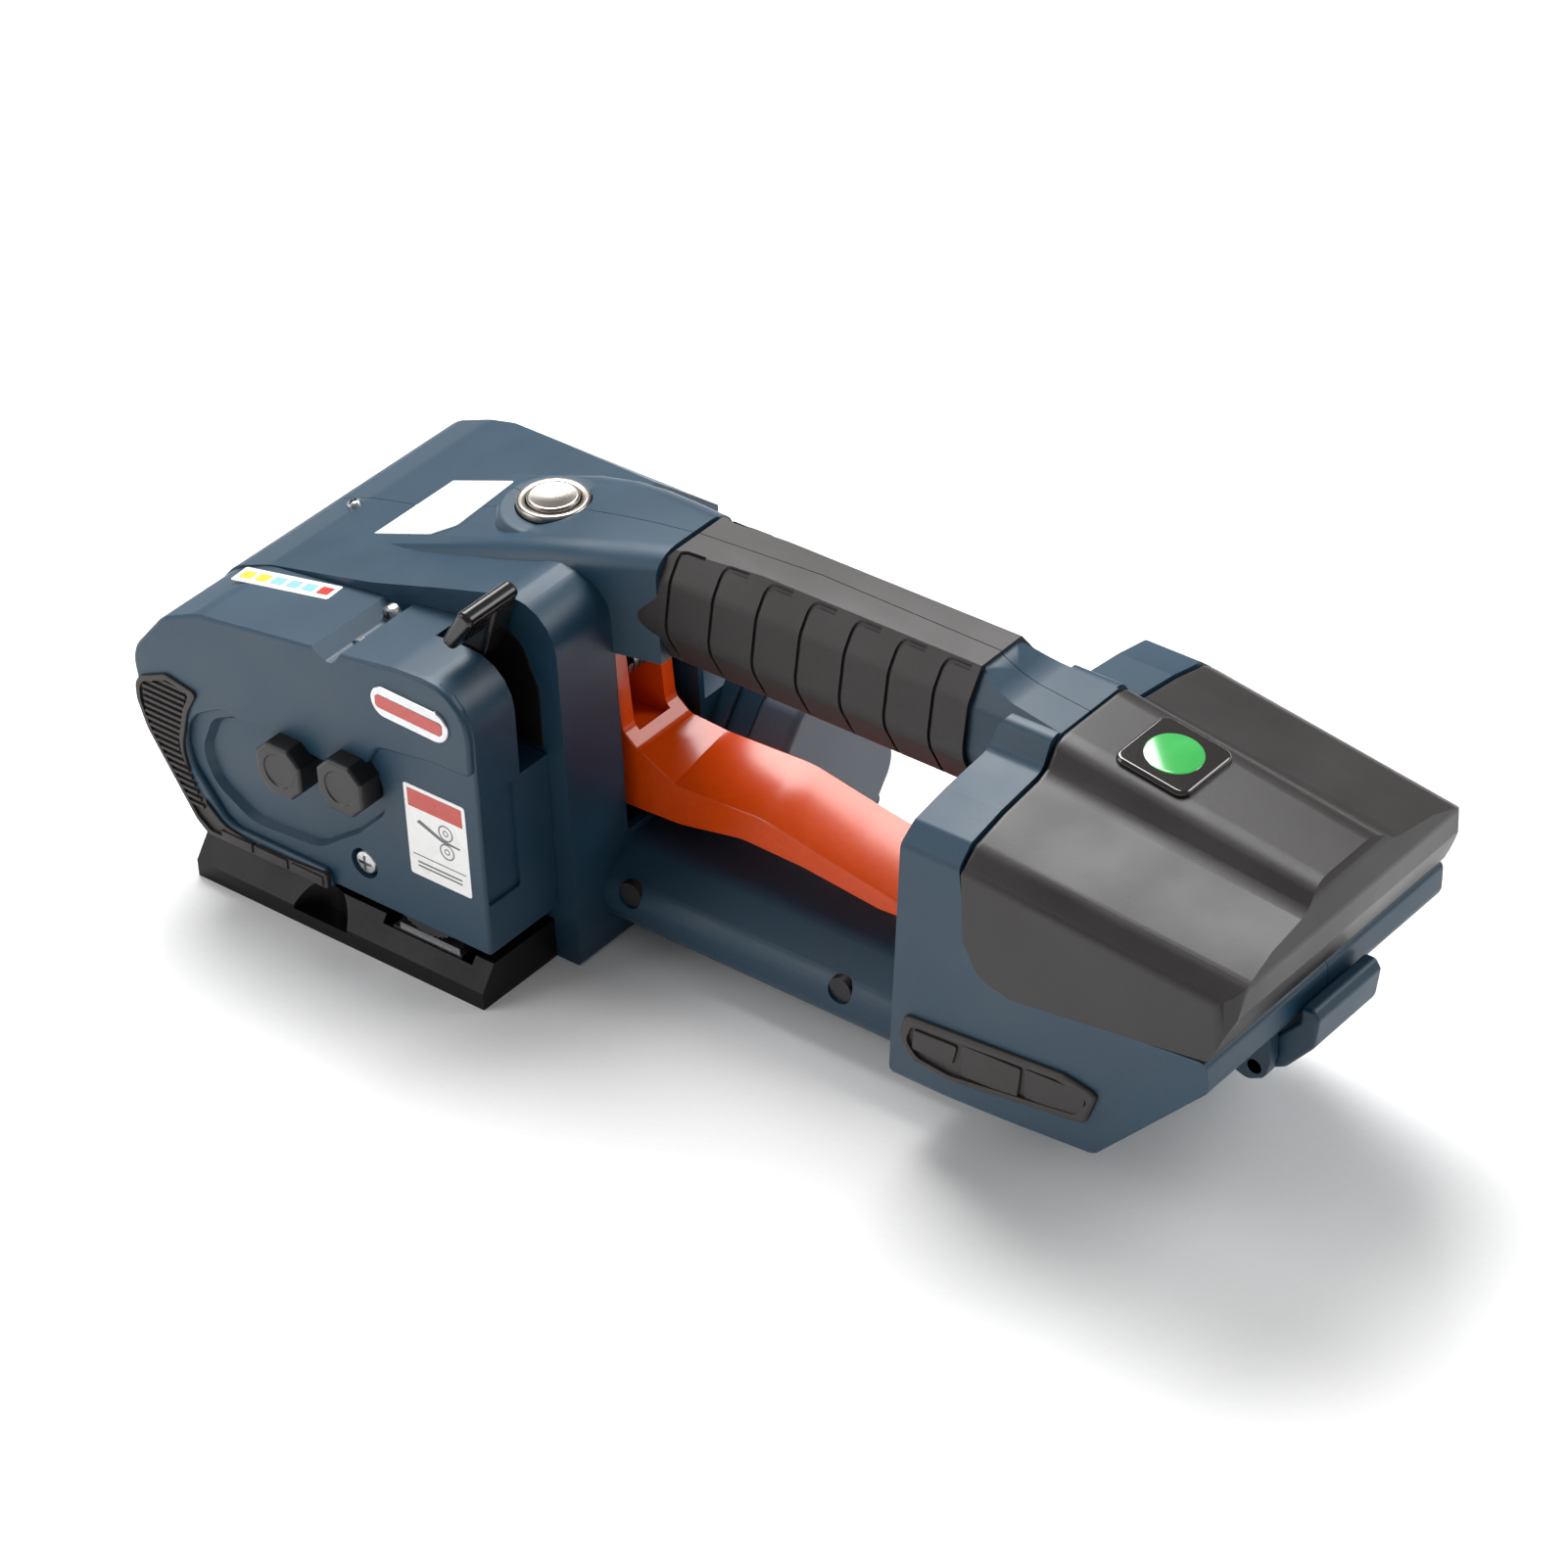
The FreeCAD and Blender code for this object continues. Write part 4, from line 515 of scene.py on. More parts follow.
@dataclass(frozen=True)
class Finish:
    """A surface: what it is made of and how that was made."""

    name: str
    colour: str
    shade: str
    roughness: float
    metallic: float = 0.0
    pattern: Pattern = Pattern.GRAIN
    grain: float = 0.5
    relief: float = 0.02
    patch: float = 30.0
    spread: float = 0.06
    coat: float = 0.0
    centre: tuple[float, float, float] = (0.0, 0.0, 0.0)

    def material(self) -> bpy.types.Material:
        """The finish as a material, made once and then shared.

        Returns:
            The material.
        """
        known = bpy.data.materials.get(self.name)
        if known:
            return known
        made = bpy.data.materials.new(self.name)
        made.use_nodes = True
        tree = made.node_tree
        shader = next(node for node in tree.nodes if node.type == "BSDF_PRINCIPLED")
        place = add_node(tree, "TexCoord").outputs["Object"]
        patches = add_node(tree, "TexNoise",
                           {"Vector": place, "Scale": 1 / (self.patch * MM), "Detail": 3.0})
        speck = add_node(tree, "TexNoise",
                         {"Vector": place, "Scale": 1 / (self.grain * 1.6 * MM), "Detail": 2.0})
        tone = add_node(tree, "Math", {0: patches.outputs["Fac"], 1: speck.outputs["Fac"]},
                        operation="MULTIPLY_ADD")
        tone.inputs[2].default_value = 0.1
        ramp = add_node(tree, "MapRange", {"Value": tone.outputs[0], "From Min": 0.22, "From Max": 0.5})
        tree.links.new(self._mix(tree, ramp.outputs[0]), shader.inputs["Base Color"])
        rough = add_node(tree, "MapRange",
                         {"Value": patches.outputs["Fac"], "From Min": 0.3, "From Max": 0.7,
                          "To Min": self.roughness - self.spread,
                          "To Max": self.roughness + self.spread})
        tree.links.new(rough.outputs[0], shader.inputs["Roughness"])
        bump = add_node(tree, "Bump", {"Height": self._height(tree, place), "Strength": 0.6,
                                       "Distance": self.relief * MM})
        tree.links.new(bump.outputs["Normal"], shader.inputs["Normal"])
        shader.inputs["Metallic"].default_value = self.metallic
        shader.inputs["Coat Weight"].default_value = self.coat
        shader.inputs["Coat Roughness"].default_value = 0.08
        return made

    def _mix(self, tree: bpy.types.NodeTree, factor: bpy.types.NodeSocket) -> bpy.types.NodeSocket:
        """The colour between the shade and the full colour.

        Args:
            tree: The material's nodes.
            factor: How much of the full colour shows.

        Returns:
            The mixed colour.
        """
        node = add_node(tree, "Mix", data_type="RGBA")
        tree.links.new(factor, node.inputs["Factor"])
        colours = [socket for socket in node.inputs if socket.type == "RGBA"]
        colours[0].default_value = linear(self.shade)
        colours[1].default_value = linear(self.colour)
        return next(socket for socket in node.outputs if socket.type == "RGBA")

    def _height(self, tree: bpy.types.NodeTree, place: bpy.types.NodeSocket) -> bpy.types.NodeSocket:
        """The relief's height.

        Args:
            tree: The material's nodes.
            place: The object coordinates.

        Returns:
            The height, from 0 to 1.
        """
        if self.pattern is Pattern.SPUN:
            shifted = add_node(tree, "Mapping",
                               {"Vector": place,
                                "Location": tuple(-value * MM for value in self.centre)})
            rings = add_node(tree, "TexWave",
                             {"Vector": shifted.outputs[0], "Scale": 0.32 / (self.grain * MM),
                              "Distortion": 0.4, "Detail": 1.0}, wave_type="RINGS", rings_direction="Z")
            return rings.outputs["Fac"]
        stretch = (0.06, 1.0, 1.0) if self.pattern is Pattern.BRUSHED else (1.0, 1.0, 1.0)
        shaped = add_node(tree, "Mapping", {"Vector": place, "Scale": stretch})
        return add_node(tree, "TexNoise", {"Vector": shaped.outputs[0], "Scale": 1 / (self.grain * MM),
                                           "Detail": 3.0, "Roughness": 0.6}).outputs["Fac"]


# Glass-filled nylon moulded in a spark-eroded tool: matt grain with a broad soft sheen. Real spark grain is
# about 0.1 mm across; this one and the grains below are drawn coarser, so that they show.
SHELL_NYLON = Finish("petrol_blue_moulded_nylon", "#163A4F", "#133346", 0.46, grain=0.45, relief=0.03)
# The same nylon, moulded from a lighter grey-blue batch: it sets the motor's end cap off from the shells.
CAP_NYLON = Finish("grey_blue_moulded_nylon", "#414B59", "#3B4552", 0.5, grain=0.45, relief=0.03)
# Soft-touch elastomer moulded over the handle: dark and warm, with a dull sheen and a fine tooth.
SOFT_GRIP = Finish("moulded_grip_elastomer", "#2A2624", "#231F1E", 0.52, grain=0.6, relief=0.03)
# Black ABS moulded with a fine leather-like tooth: warmer and a little glossier than the shells.
PACK_ABS = Finish("warm_black_moulded_abs", "#221E1D", "#1D1918", 0.42, grain=0.5, relief=0.035)
# ABS moulded in a polished tool: clear reflections over a saturated orange body.
LEVER_ABS = Finish("orange_gloss_abs", "#E64E06", "#DE4805", 0.18, grain=1.2, relief=0.01, spread=0.03)
# Steel lever dipped in black coating: a thick smooth skin that gives wet highlights.
DIPPED_STEEL = Finish("black_dip_coated_lever", "#141112", "#0F0D0E", 0.22, grain=1.5, relief=0.02,
                      spread=0.04)
# Tool steel, ground along X and then blackened in a bath: low sheen, faint streaks and slight mottling.
BLACK_STEEL = Finish("blackened_ground_steel", "#1B1A1B", "#121112", 0.38, metallic=0.7,
                     pattern=Pattern.BRUSHED, grain=0.5, relief=0.01, spread=0.1)
# Stainless steel turned on a lathe: fine rings left by the tool spread the highlight across the button.
BUTTON_STEEL = Finish("spun_stainless_steel", "#A09A93", "#8F8A83", 0.27, metallic=1.0,
                      pattern=Pattern.SPUN, grain=0.35, relief=0.004, centre=(24.4, 35.0, 108.0))
# Cold-headed steel screws, barrel-plated with bright zinc: a pale mirror with small dents.
SCREW_ZINC = Finish("bright_zinc_plated_screws", "#C9CACB", "#A9ABAE", 0.28, metallic=1.0, grain=0.4,
                    relief=0.01)
# Phenolic resin pressed in a hot tool: hard, black and half matt.
KNOB_PHENOLIC = Finish("black_moulded_phenolic", "#161415", "#111011", 0.36, grain=0.5, relief=0.02)
# Hardened steel, ground after hobbing or turning: bright with fine straight marks.
GROUND_STEEL = Finish("ground_gear_steel", "#9C9D9F", "#85878A", 0.34, metallic=1.0,
                      pattern=Pattern.BRUSHED, grain=0.4, relief=0.008)
# Steel with a zinc-phosphate coat: dark, matt and slightly grainy.
DARK_STEEL = Finish("phosphated_steel", "#4A4A4C", "#3C3C3E", 0.45, metallic=0.9, grain=0.4, relief=0.01)
# Iron cast in sand: a rough grey skin with no clear reflections.
CAST_SKIN = Finish("sand_cast_frame", "#6B6B6C", "#58585A", 0.7, metallic=0.6, grain=0.8, relief=0.08)
# Fibreglass board under a sprayed solder mask: deep green with a thin gloss.
BOARD_LACQUER = Finish("green_solder_mask", "#124B2C", "#0E3F25", 0.35, grain=0.6, relief=0.01)
# Steel cell cans in a shrunk PVC sleeve: smooth blue film with a soft sheen.
CELL_SLEEVE = Finish("cell_shrink_sleeve", "#2C6E9A", "#275F86", 0.35, grain=0.8, relief=0.01)
# Self-adhesive vinyl, screen-printed and laminated: flat clean colour under a clear film.
LABEL_WHITE = Finish("white_vinyl_label", "#F3F3F1", "#ECECEA", 0.3, grain=2.0, relief=0.004, coat=0.5)
LABEL_RED = Finish("red_printed_vinyl", "#C43324", "#BB2E20", 0.3, grain=2.0, relief=0.004, coat=0.5)
LABEL_GREY = Finish("grey_printed_vinyl", "#5F6062", "#57585A", 0.35, grain=2.0, relief=0.004, coat=0.5)
LABEL_YELLOW = Finish("yellow_printed_vinyl", "#E6C83C", "#DFC034", 0.3, grain=2.0, relief=0.004,
                      coat=0.5)
LABEL_BLUE = Finish("light_blue_printed_vinyl", "#8FC3DC", "#88BCD6", 0.3, grain=2.0, relief=0.004,
                    coat=0.5)
# Plated ABS nameplate: bright chrome that mirrors its surroundings.
BADGE_CHROME = Finish("chromed_badge_plate", "#D8DADC", "#C4C6C9", 0.12, metallic=1.0, grain=0.8,
                      relief=0.01)
# Printed plate under poured resin: deep colour below a wet, rounded gloss.
DOME_BLACK = Finish("black_domed_resin", "#17100E", "#120C0B", 0.1, grain=3.0, relief=0.004, coat=1.0,
                    spread=0.02)
DOME_GREEN = Finish("green_domed_resin", "#3FB356", "#36A54D", 0.12, grain=3.0, relief=0.004, coat=1.0,
                    spread=0.02)
# Matt paper rolled out as a table: white, with no gloss of its own.
PAPER = Finish("matt_white_paper", "#FFFFFF", "#FCFCFC", 0.9, grain=1.0, relief=0.0)

SLOT_FINISH = {"housing_plastic": SHELL_NYLON, "cap_plastic": CAP_NYLON, "grip_rubber": SOFT_GRIP,
               "battery_plastic": PACK_ABS, "lever_plastic": LEVER_ABS, "lever_alloy": DIPPED_STEEL,
               "black_steel": BLACK_STEEL, "casting": CAST_SKIN, "bright_steel": GROUND_STEEL,
               "dark_steel": DARK_STEEL, "rotor_iron": DARK_STEEL, "black_plastic": KNOB_PHENOLIC,
               "belt_rubber": SOFT_GRIP, "board": BOARD_LACQUER, "cell": CELL_SLEEVE,}


def dress_nodes() -> None:
    """Gives every node of the frame the finish of its material slot."""
    slots = {part["node"]: part["material_slot"] for part in frame["record"]["subparts"]}
    special = {"start_button": BUTTON_STEEL, "button_bezel": BUTTON_STEEL, "cover_screws": SCREW_ZINC,
               "housing_screws": DARK_STEEL}
    for name, slot_name in slots.items():
        data = bpy.data.objects[name].data
        data.materials.clear()
        data.materials.append(special.get(name, SLOT_FINISH[slot_name]).material())


# ------------------------------------------------------------------ housing

@dataclass
class Housing:
    """The two halves that make the head, the handle, the beam and the dock."""

    seam: float = 35.0
    wall: float = 2.5
    near: float = -3.0
    far: float = 81.0
    rear: float = 57.0
    top: float = 106.5
    grip_half: float = 15.0
    grip_low: float = 84.0
    grip_top: float = 116.0
    dock_near: float = -15.0
    dock_seam: float = 189.0
    seam_gap: float = 0.1

    def head(self) -> Form:
        """The block over the drive: a long sloping top, a blunt nose and a stepped far side.

        Returns:
            The solid block.
        """
        corners = [(self.rear, 0, 1.5), (self.rear, self.top, 13), (42, self.top, 22), (20, 100, 22),
                   (-4, 92.5, 60), (-39, 84.5, 20), (-52, 79.5, 12), (-65, 64, 11), (-62, 41.5, 20),
                   (-47, 18.2, 6), (-43.5, 0)]
        form = Form.prism(View.SIDE, corners, self.near, self.far)
        form.slice((0, self.far - 22, 104.5), (0, 18, 22))
        form.soften(4, rim(View.SIDE, self.near, self.far), 4)
        form.soften(3, sharp_edges(20, 30), 3)
        step = Form.box((38, 70), (50, self.far + 1), (52, 120))
        return form.cut(step)

    def root_section(self, x: float, half: float, flat: float, top: float, foot: float) -> list[Vector]:
        """One cross-section of the swelling: a flat crown with a wide soft shoulder.

        Args:
            x: Where the section lies.
            half: Half its full width.
            flat: Half the width of its crown.
            top: The height of its crown.
            foot: The height of its lower edge.

        Returns:
            Its points, in order.
        """
        shoulder = half - flat
        rows = [(half, foot)]
        rows += [(flat + shoulder * math.cos(turn), top - 6 + 6 * math.sin(turn))
                 for turn in (math.pi / 2 * k / 6 for k in range(7))]
        right = [Vector((x, self.seam + y, z)) for y, z in rows]
        return right + [Vector((x, self.seam - y, z)) for y, z in reversed(rows)]

    def root(self) -> Form:
        """The swelling that runs from the head's top back into the handle.

        Returns:
            The solid swelling.
        """
        sections = [(-36, 22, 17, 83.3, 70), (24, 22, 16, 105, 70), (36, 21.4, 14, 108.6, 76),
                    (48, 19.6, 11.5, 111.2, 84), (59, 17.2, 9, 113.2, 84), (70, 14.8, 6.5, 114.8, 84)]
        return Form.loft([self.root_section(*row) for row in sections])

    def handle(self) -> Form:
        """The bar that the rubber sleeve goes on, and its bare end before the dock.

        Returns:
            The solid bar.
        """
        middle, half = self.seam, self.grip_half
        section = []
        for side in (1, -1):
            rows = [(middle + side * (half - 5), self.grip_low, 4),
                    (middle + side * half, self.grip_low + 12, 8),
                    (middle + side * (half - 2.5), self.grip_top - 8, 5),
                    (middle + side * (half - 8), self.grip_top, 3)]
            section += rows if side > 0 else rows[::-1]
        bar = Form.prism(View.END, section, self.rear - 2, self.dock_seam + 0.5)
        side = [(50, 60), (195, 60), (195, 109), (self.dock_seam, 110), (172, 112, 20),
                (164, self.grip_top), (110, self.grip_top + 1), (50, self.top + 4)]
        return bar.common(Form.prism(View.SIDE, side, -20, 90))

    def beam(self) -> Form:
        """The lower bar that closes the hand opening.

        Returns:
            The solid bar.
        """
        section = [(11.5, 7, 2), (40, 7, 2), (44, 12, 4), (44, 21, 5), (36, 28, 7), (19.5, 28, 8),
                   (7.5, 20, 7), (7.5, 12, 4)]
        return Form.prism(View.END, section, self.rear - 2, 167)

    def dock_profile(self, inset: float) -> list[Corner]:
        """The dock's side view, drawn in by an inset.

        Args:
            inset: How far every side moves in.

        Returns:
            The corners, in order.
        """
        front = 160.5 + inset
        return [(front, 17 + inset, 3), (front + 14, 111 - 2 * inset, 4),
                (self.dock_seam, 111 - 2 * inset), (self.dock_seam, 73.3, 2), (193, 64.3, 6),
                (202, 61.5, 8), (257, 67, 2), (257 - inset, 58.3, 4), (222 - inset, 22 + inset, 5)]

    def dock_section(self, inset: float, low: float) -> list[Corner]:
        """The dock's end view, drawn in by an inset.

        Args:
            inset: How far every side moves in.
            low: The height of the lower edge.

        Returns:
            The corners, in order.
        """
        half = [(14, 110, 3), (18, 103, 4), (33.6, 101, 3), (45, 98.5, 2), (50, 94, 3)]
        right = [(self.seam + y - inset, z - inset, r) for y, z, r in half]
        left = [(self.seam - y + inset, z - inset, r) for y, z, r in reversed(half)]
        far = 2 * self.seam - self.dock_near
        first, last = (far - inset - 6, low, 3), (self.dock_near + inset + 6, low, 3)
        return [first, *right[::-1], *left[::-1], last]

    def dock(self) -> Form:
        """The cradle that the battery slides on to.

        Returns:
            The solid cradle.
        """
        form = Form.prism(View.SIDE, self.dock_profile(0), -18, 88)
        form.common(Form.prism(View.END, self.dock_section(0, 17), 150, 270, 3))
        return form.soften(1.6, sharp_edges(40), 3)

    def boss(self) -> Form:
        """The round seat of the start button."""
        return Form.turned([(0, -16), (16.4, -16), (15.0, -5), (14.4, -1.6), (13.9, -0.5), (12.9, 0),
                            (0, 0)], (24.4, self.seam, 106), View.PLAN)

    def ears(self) -> list[Form]:
        """The two lugs that hold the latch's pin."""
        outline = [(239, 40.3, 1), (246, 37.8, 3), (251, 40.3, 3), (252.5, 45.3), (252.5, 55.3),
                   (239, 45.3)]
        return [Form.prism(View.SIDE, outline, low, low + 3.2) for low in (18.5, 48.3)]

    def hollow(self) -> list[Form]:
        """The rooms inside the head, the bars and the dock.

        Returns:
            The rooms, to be cut out.
        """
        wall = self.wall
        corners = [(self.rear - wall, wall), (self.rear - wall, self.top - wall - 8),
                   (self.rear - wall - 10, self.top - wall), (42, self.top - wall), (20, 97.5),
                   (-4, 89.8), (-38.5, 81.5), (-50.5, 76), (-61.5, 64), (-59, 42), (-44.5, 19),
                   (-41, wall)]
        head = Form.prism(View.SIDE, corners, self.near + wall, self.far - wall)
        head.slice((0, self.far - 28, 101), (0, 19.5, 28))
        head.cut(Form.box((38 - wall, 70), (50 - wall, self.far + 1), (52 - wall, 120)))
        bar = Form.box((51, 182.5), (24, 46), (self.grip_low + 4, self.grip_top - 7))
        beam = Form.box((51, 168.5), (12, 35.5), (9.5, 21))
        side = self.dock_profile(wall)
        side[2:7] = [(186.5, 105), (186.5, 57.8), (253.5, 62)]
        end = self.dock_section(wall, 17 + wall)
        dock = Form.prism(View.SIDE, [corner[:2] for corner in side], self.dock_near + wall, 85 - wall)
        dock.common(Form.prism(View.END, [corner[:2] for corner in end], 150, 270))
        return [head, bar, beam, dock]

    def far_wells(self) -> list[Form]:
        """The wells of the screws that go in from the far side.

        Returns:
            The wells, to be cut out.
        """
        wells = []
        for x, top, z, deep in ((-12, self.far + 1, 68, 5), (-48, self.far + 1, 56, 5), (183, 85, 52, 8),
                                (181.5, 85, 91, 8)):
            mirror = Matrix.Translation((0, 2 * top, 0)) @ Matrix.Scale(-1, 4, (0, 1, 0))
            wells.append(Form.well(4, 3.6, deep, 2.1, 12, (x, top, z)).moved(mirror))
        return wells

    def openings(self) -> list[Form]:
        """The seats, bores and slots cut through the walls.

        Returns:
            The openings, to be cut out.
        """
        wall = self.wall
        plate = Form.box((-79, 49), (-40, 31), (-1, 11.5))
        lever = Form.box((self.rear - wall - 3, self.rear + 1), (18, 48), (30, 83))
        button = Form.rod(9.8, 40, (24.4, self.seam, 80), View.PLAN)
        shafts = [Form.rod(radius, 8, (x, self.near - 1, z), View.SIDE, 24)
                  for x, z, radius in ((28, 24.9, 6.5), (-4, 22, 4.5), (22, 66, 4.5), (-46, 37, 3.1))]
        window = Form.box((-34.5, -20), (self.near - 1, self.near + 5), (14.5, 33))
        motor = Form.box((46.1, self.rear - wall), (self.far - wall - 1, self.far + 1), (wall, 42.9))
        can = Form.rod(19, 10, (self.rear - wall - 2, 70, 24.9), View.END)
        wells = [Form.well(3.6, 3.6, 4, 2.1, 12, (x, 6.5, 19)) for x in (65, 132)]
        wells += self.far_wells()
        vents = [Form.prism(View.SIDE,
                            [(x, 12, 1.1), (x + 2.4, 12, 1.1), (x + 2.4, 34, 1.1), (x, 34, 1.1)],
                            self.far - 4, self.far + 1) for x in range(-26, 5, 6)]
        terminal = Form.box((184, 190), (19, 51), (72.3, 86.3))
        return [plate, lever, button, window, motor, can, terminal, *shafts, *wells, *vents]

    def build(self) -> None:
        """Makes both halves, parted on the handle's middle plane."""
        body = self.head().join(self.root(), self.boss(), self.handle(), self.beam(), self.dock(),
                                *self.ears())
        body.cut(*self.hollow(), *self.openings())
        gap = self.seam_gap
        near = body.copy().common(Form.box((-80, 280), (-60, self.seam - gap), (-10, 140)))
        far = body.common(Form.box((-80, 280), (self.seam + gap, 130), (-10, 140)))
        near.publish("housing_shell_near", SHELL_NYLON, "housing", "housing_plastic", ["housing_near"])
        far.publish("housing_shell_far", SHELL_NYLON, "housing", "housing_plastic", ["housing_far"])


# ------------------------------------------------------------------ side cover

@dataclass
class SideCover:
    """The cover on the strap's side, with its knob recess, lever slot and rubber nose."""

    near: float = -30.5
    panel: float = -28.9
    back: float = -3.2
    rear: float = 51.0
    low: float = 16.2
    recess_floor: float = -27.0
    slot_near: float = -13.4
    slot_floor: float = 63.2
    inner_near: float = -25.4

    def outline(self) -> list[Corner]:
        """The cover's side view."""
        return [(self.rear, self.low, 1), (self.rear + 0.6, 95.8, 13), (28, 94.6, 30), (8, 91.4, 30),
                (-39, 84.3, 20), (-52, 78.5, 10), (-64.6, 64, 10), (-61.8, 41.5, 20), (-47, 18.4, 5),
                (-43.5, self.low)]

    def raised_zone(self) -> Form:
        """The part of the near face above the step line, which stands proud of the label panel.

        Returns:
            The solid zone.
        """
        corners = [(self.rear, 71, 2), *self.outline()[1:], (-1, self.low), (-2, 21, 2), (-36, 21, 8),
                   (-49, 38, 12), (-46, 50.5, 10), (-33.7, 57.6, 8), (-9.8, 56.5, 20), (8, 54.8, 8),
                   (15, 60, 3), (19.7, 67.5, 5), (37.8, 70.5, 10)]
        return Form.prism(View.SIDE, corners, self.near, -20).soften(1.1, rim(View.SIDE, self.near), 3)

    def recess(self) -> Form:
        """The hollow round the two knobs, with sloping walls.

        Returns:
            The room, to be cut out.
        """
        corners = [(-47, 40, 10), (-41.5, 53, 8), (-33, 57.2, 6), (-9.8, 56.2, 20), (8, 56, 8),
                   (20.9, 66, 6), (22.3, 47.7, 8), (11, 36, 10), (-5, 24, 14), (-30, 22, 12),
                   (-43, 30, 10)]
        form = Form.prism(View.SIDE, corners, self.panel - 3, self.recess_floor)
        inner = [v for v in form.bm.verts if abs(v.co.y - self.recess_floor) < 0.01]
        centre = Vector((-10, 0, 43))
        bmesh.ops.scale(form.bm, vec=(0.88, 1, 0.84), space=Matrix.Translation(-centre), verts=inner)
        return form

    def notch(self) -> Form:
        """The groove across the top that leads to the upper screw."""
        corners = [(-3.5, 97), (-1.5, 91.4, 3), (5.6, 87.9, 2), (8.2, 87.9, 2), (10.6, 91.9, 2),
                   (12, 97)]
        return Form.prism(View.SIDE, corners, self.near - 2, -3.6)

    def lever_slot(self) -> Form:
        """The room the welding lever swings in.

        Returns:
            The room, to be cut out.
        """
        floor, back = self.slot_floor, self.rear + 5
        corners = [(19, floor), (back, floor), (back, 110), (27, 110), (27, 92), (19, 78)]
        return Form.prism(View.SIDE, corners, self.slot_near, 0)

    def hollow(self) -> list[Form]:
        """The room behind the cover's walls.

        Returns:
            The rooms, to be cut out.
        """
        nose = [(-5, 83.5), (-38.5, 79), (-50.5, 74), (-60.5, 64), (-59, 42), (-44.5, 19), (-41, 15)]
        roof = [(46.5, 15), (46.5, 84), (40, 89.5), (28, 89), (14, 86), (6, 82.5)]
        deep = Form.prism(View.SIDE, roof + nose, self.inner_near, self.slot_near - 2.5)
        front = Form.prism(View.SIDE, [(15, 15), (15, 81), (6, 81)] + nose, self.slot_near - 2.6, 0)
        low_room = Form.box((14.9, 46.5), (self.slot_near - 2.6, 0), (15, 61))
        wheel_room = Form.box((14.8, 43), (-27.4, -20), (15, 41))
        return [deep, front, low_room, wheel_room]

    def rear_panel(self) -> Form:
        """The shallow pocket in the rear face."""
        return Form.prism(View.END, [(-28, 31, 1), (-16, 31, 1), (-16, 63, 1), (-28, 63, 1)],
                          self.rear - 0.9, self.rear + 3)

    def build(self) -> None:
        """Makes the cover and dresses it."""
        shell = Form.prism(View.SIDE, self.outline(), self.panel, self.back)
        shell.soften(2.2, rim(View.SIDE, self.panel), 4)
        shell.join(self.raised_zone())
        shell.cut(self.recess(), self.notch(), self.lever_slot(), self.rear_panel(), *self.hollow())
        well = Form.well(4.4, 4.4, 7.4, 1.9, 24, (10, self.near - 2, 27.6))
        hub = Form.rod(11, 12, (22, self.slot_near, 66), View.SIDE)
        shell.cut(well, hub)
        shell.publish("cover_shell", SHELL_NYLON, "housing", "housing_plastic", ["side_cover"])

    def bumper(self) -> None:
        """Makes the rubber nose with its ribs and the strip of pads under it."""
        band = [(-1.5, 15.8, 1), (-1.5, 20.6, 1), (-26, 18.9, 8), (-37, 20.8, 6), (-46.8, 29.3, 8),
                (-48.9, 40.5, 12), (-45.6, 52.5, 10), (-41.4, 59.6, 1.5), (-52.4, 61.6, 3),
                (-63.6, 56.7, 5), (-63.9, 50, 8), (-61.2, 41.6, 12), (-47, 18.9, 5), (-43.4, 15.8, 2)]
        face = self.near - 0.9
        base = Form.prism(View.SIDE, band, face, self.near + 0.8).soften(0.5, rim(View.SIDE, face), 2)
        tray = [(-27, 17.2, 1), (-27, 17.6), (-37, 19.4, 6), (-45.6, 28.8, 8), (-50.4, 40.5, 12),
                (-47, 53, 10), (-44, 58.6, 1.5), (-52, 60, 3), (-62, 55.6, 4), (-62.4, 50, 8),
                (-59.8, 42, 12), (-46.2, 20.3, 5), (-42, 17.2, 2)]
        base.cut(Form.prism(View.SIDE, tray, self.near - 2, self.near - 0.1))
        ribs = Form()
        for k in range(19):
            z = 58.8 - 1.95 * k
            outer = -61.2 + max(0.0, z - 55) * 2.0 if z > 44 else -61.2 + (44 - z) * 0.61
            inner = -45.6 - max(0.0, 57.5 - z) * 0.28 if z > 40 else -50.4 + (40 - z) * 0.4
            rib = Form.box((outer, inner), (self.near - 0.85, self.near + 0.2), (z - 0.5, z + 0.5))
            ribs.with_parts(rib.soften(0.3, rim(View.SIDE, self.near - 0.85), 2))
        pads = [Form.box((x, x + 10.6), (self.near - 1.4, self.near), (16.6, 19.4))
                for x in (-37.8, -25.6, -13.4)]
        for pad in pads:
            pad.soften(0.35, rim(View.SIDE, self.near - 1.4), 2)
        base.with_parts(ribs, *pads)
        base.publish("nose_bumper_rubber", SOFT_GRIP, "housing", "grip_rubber", ["nose_bumper"])


# ------------------------------------------------------------------ handle sleeve

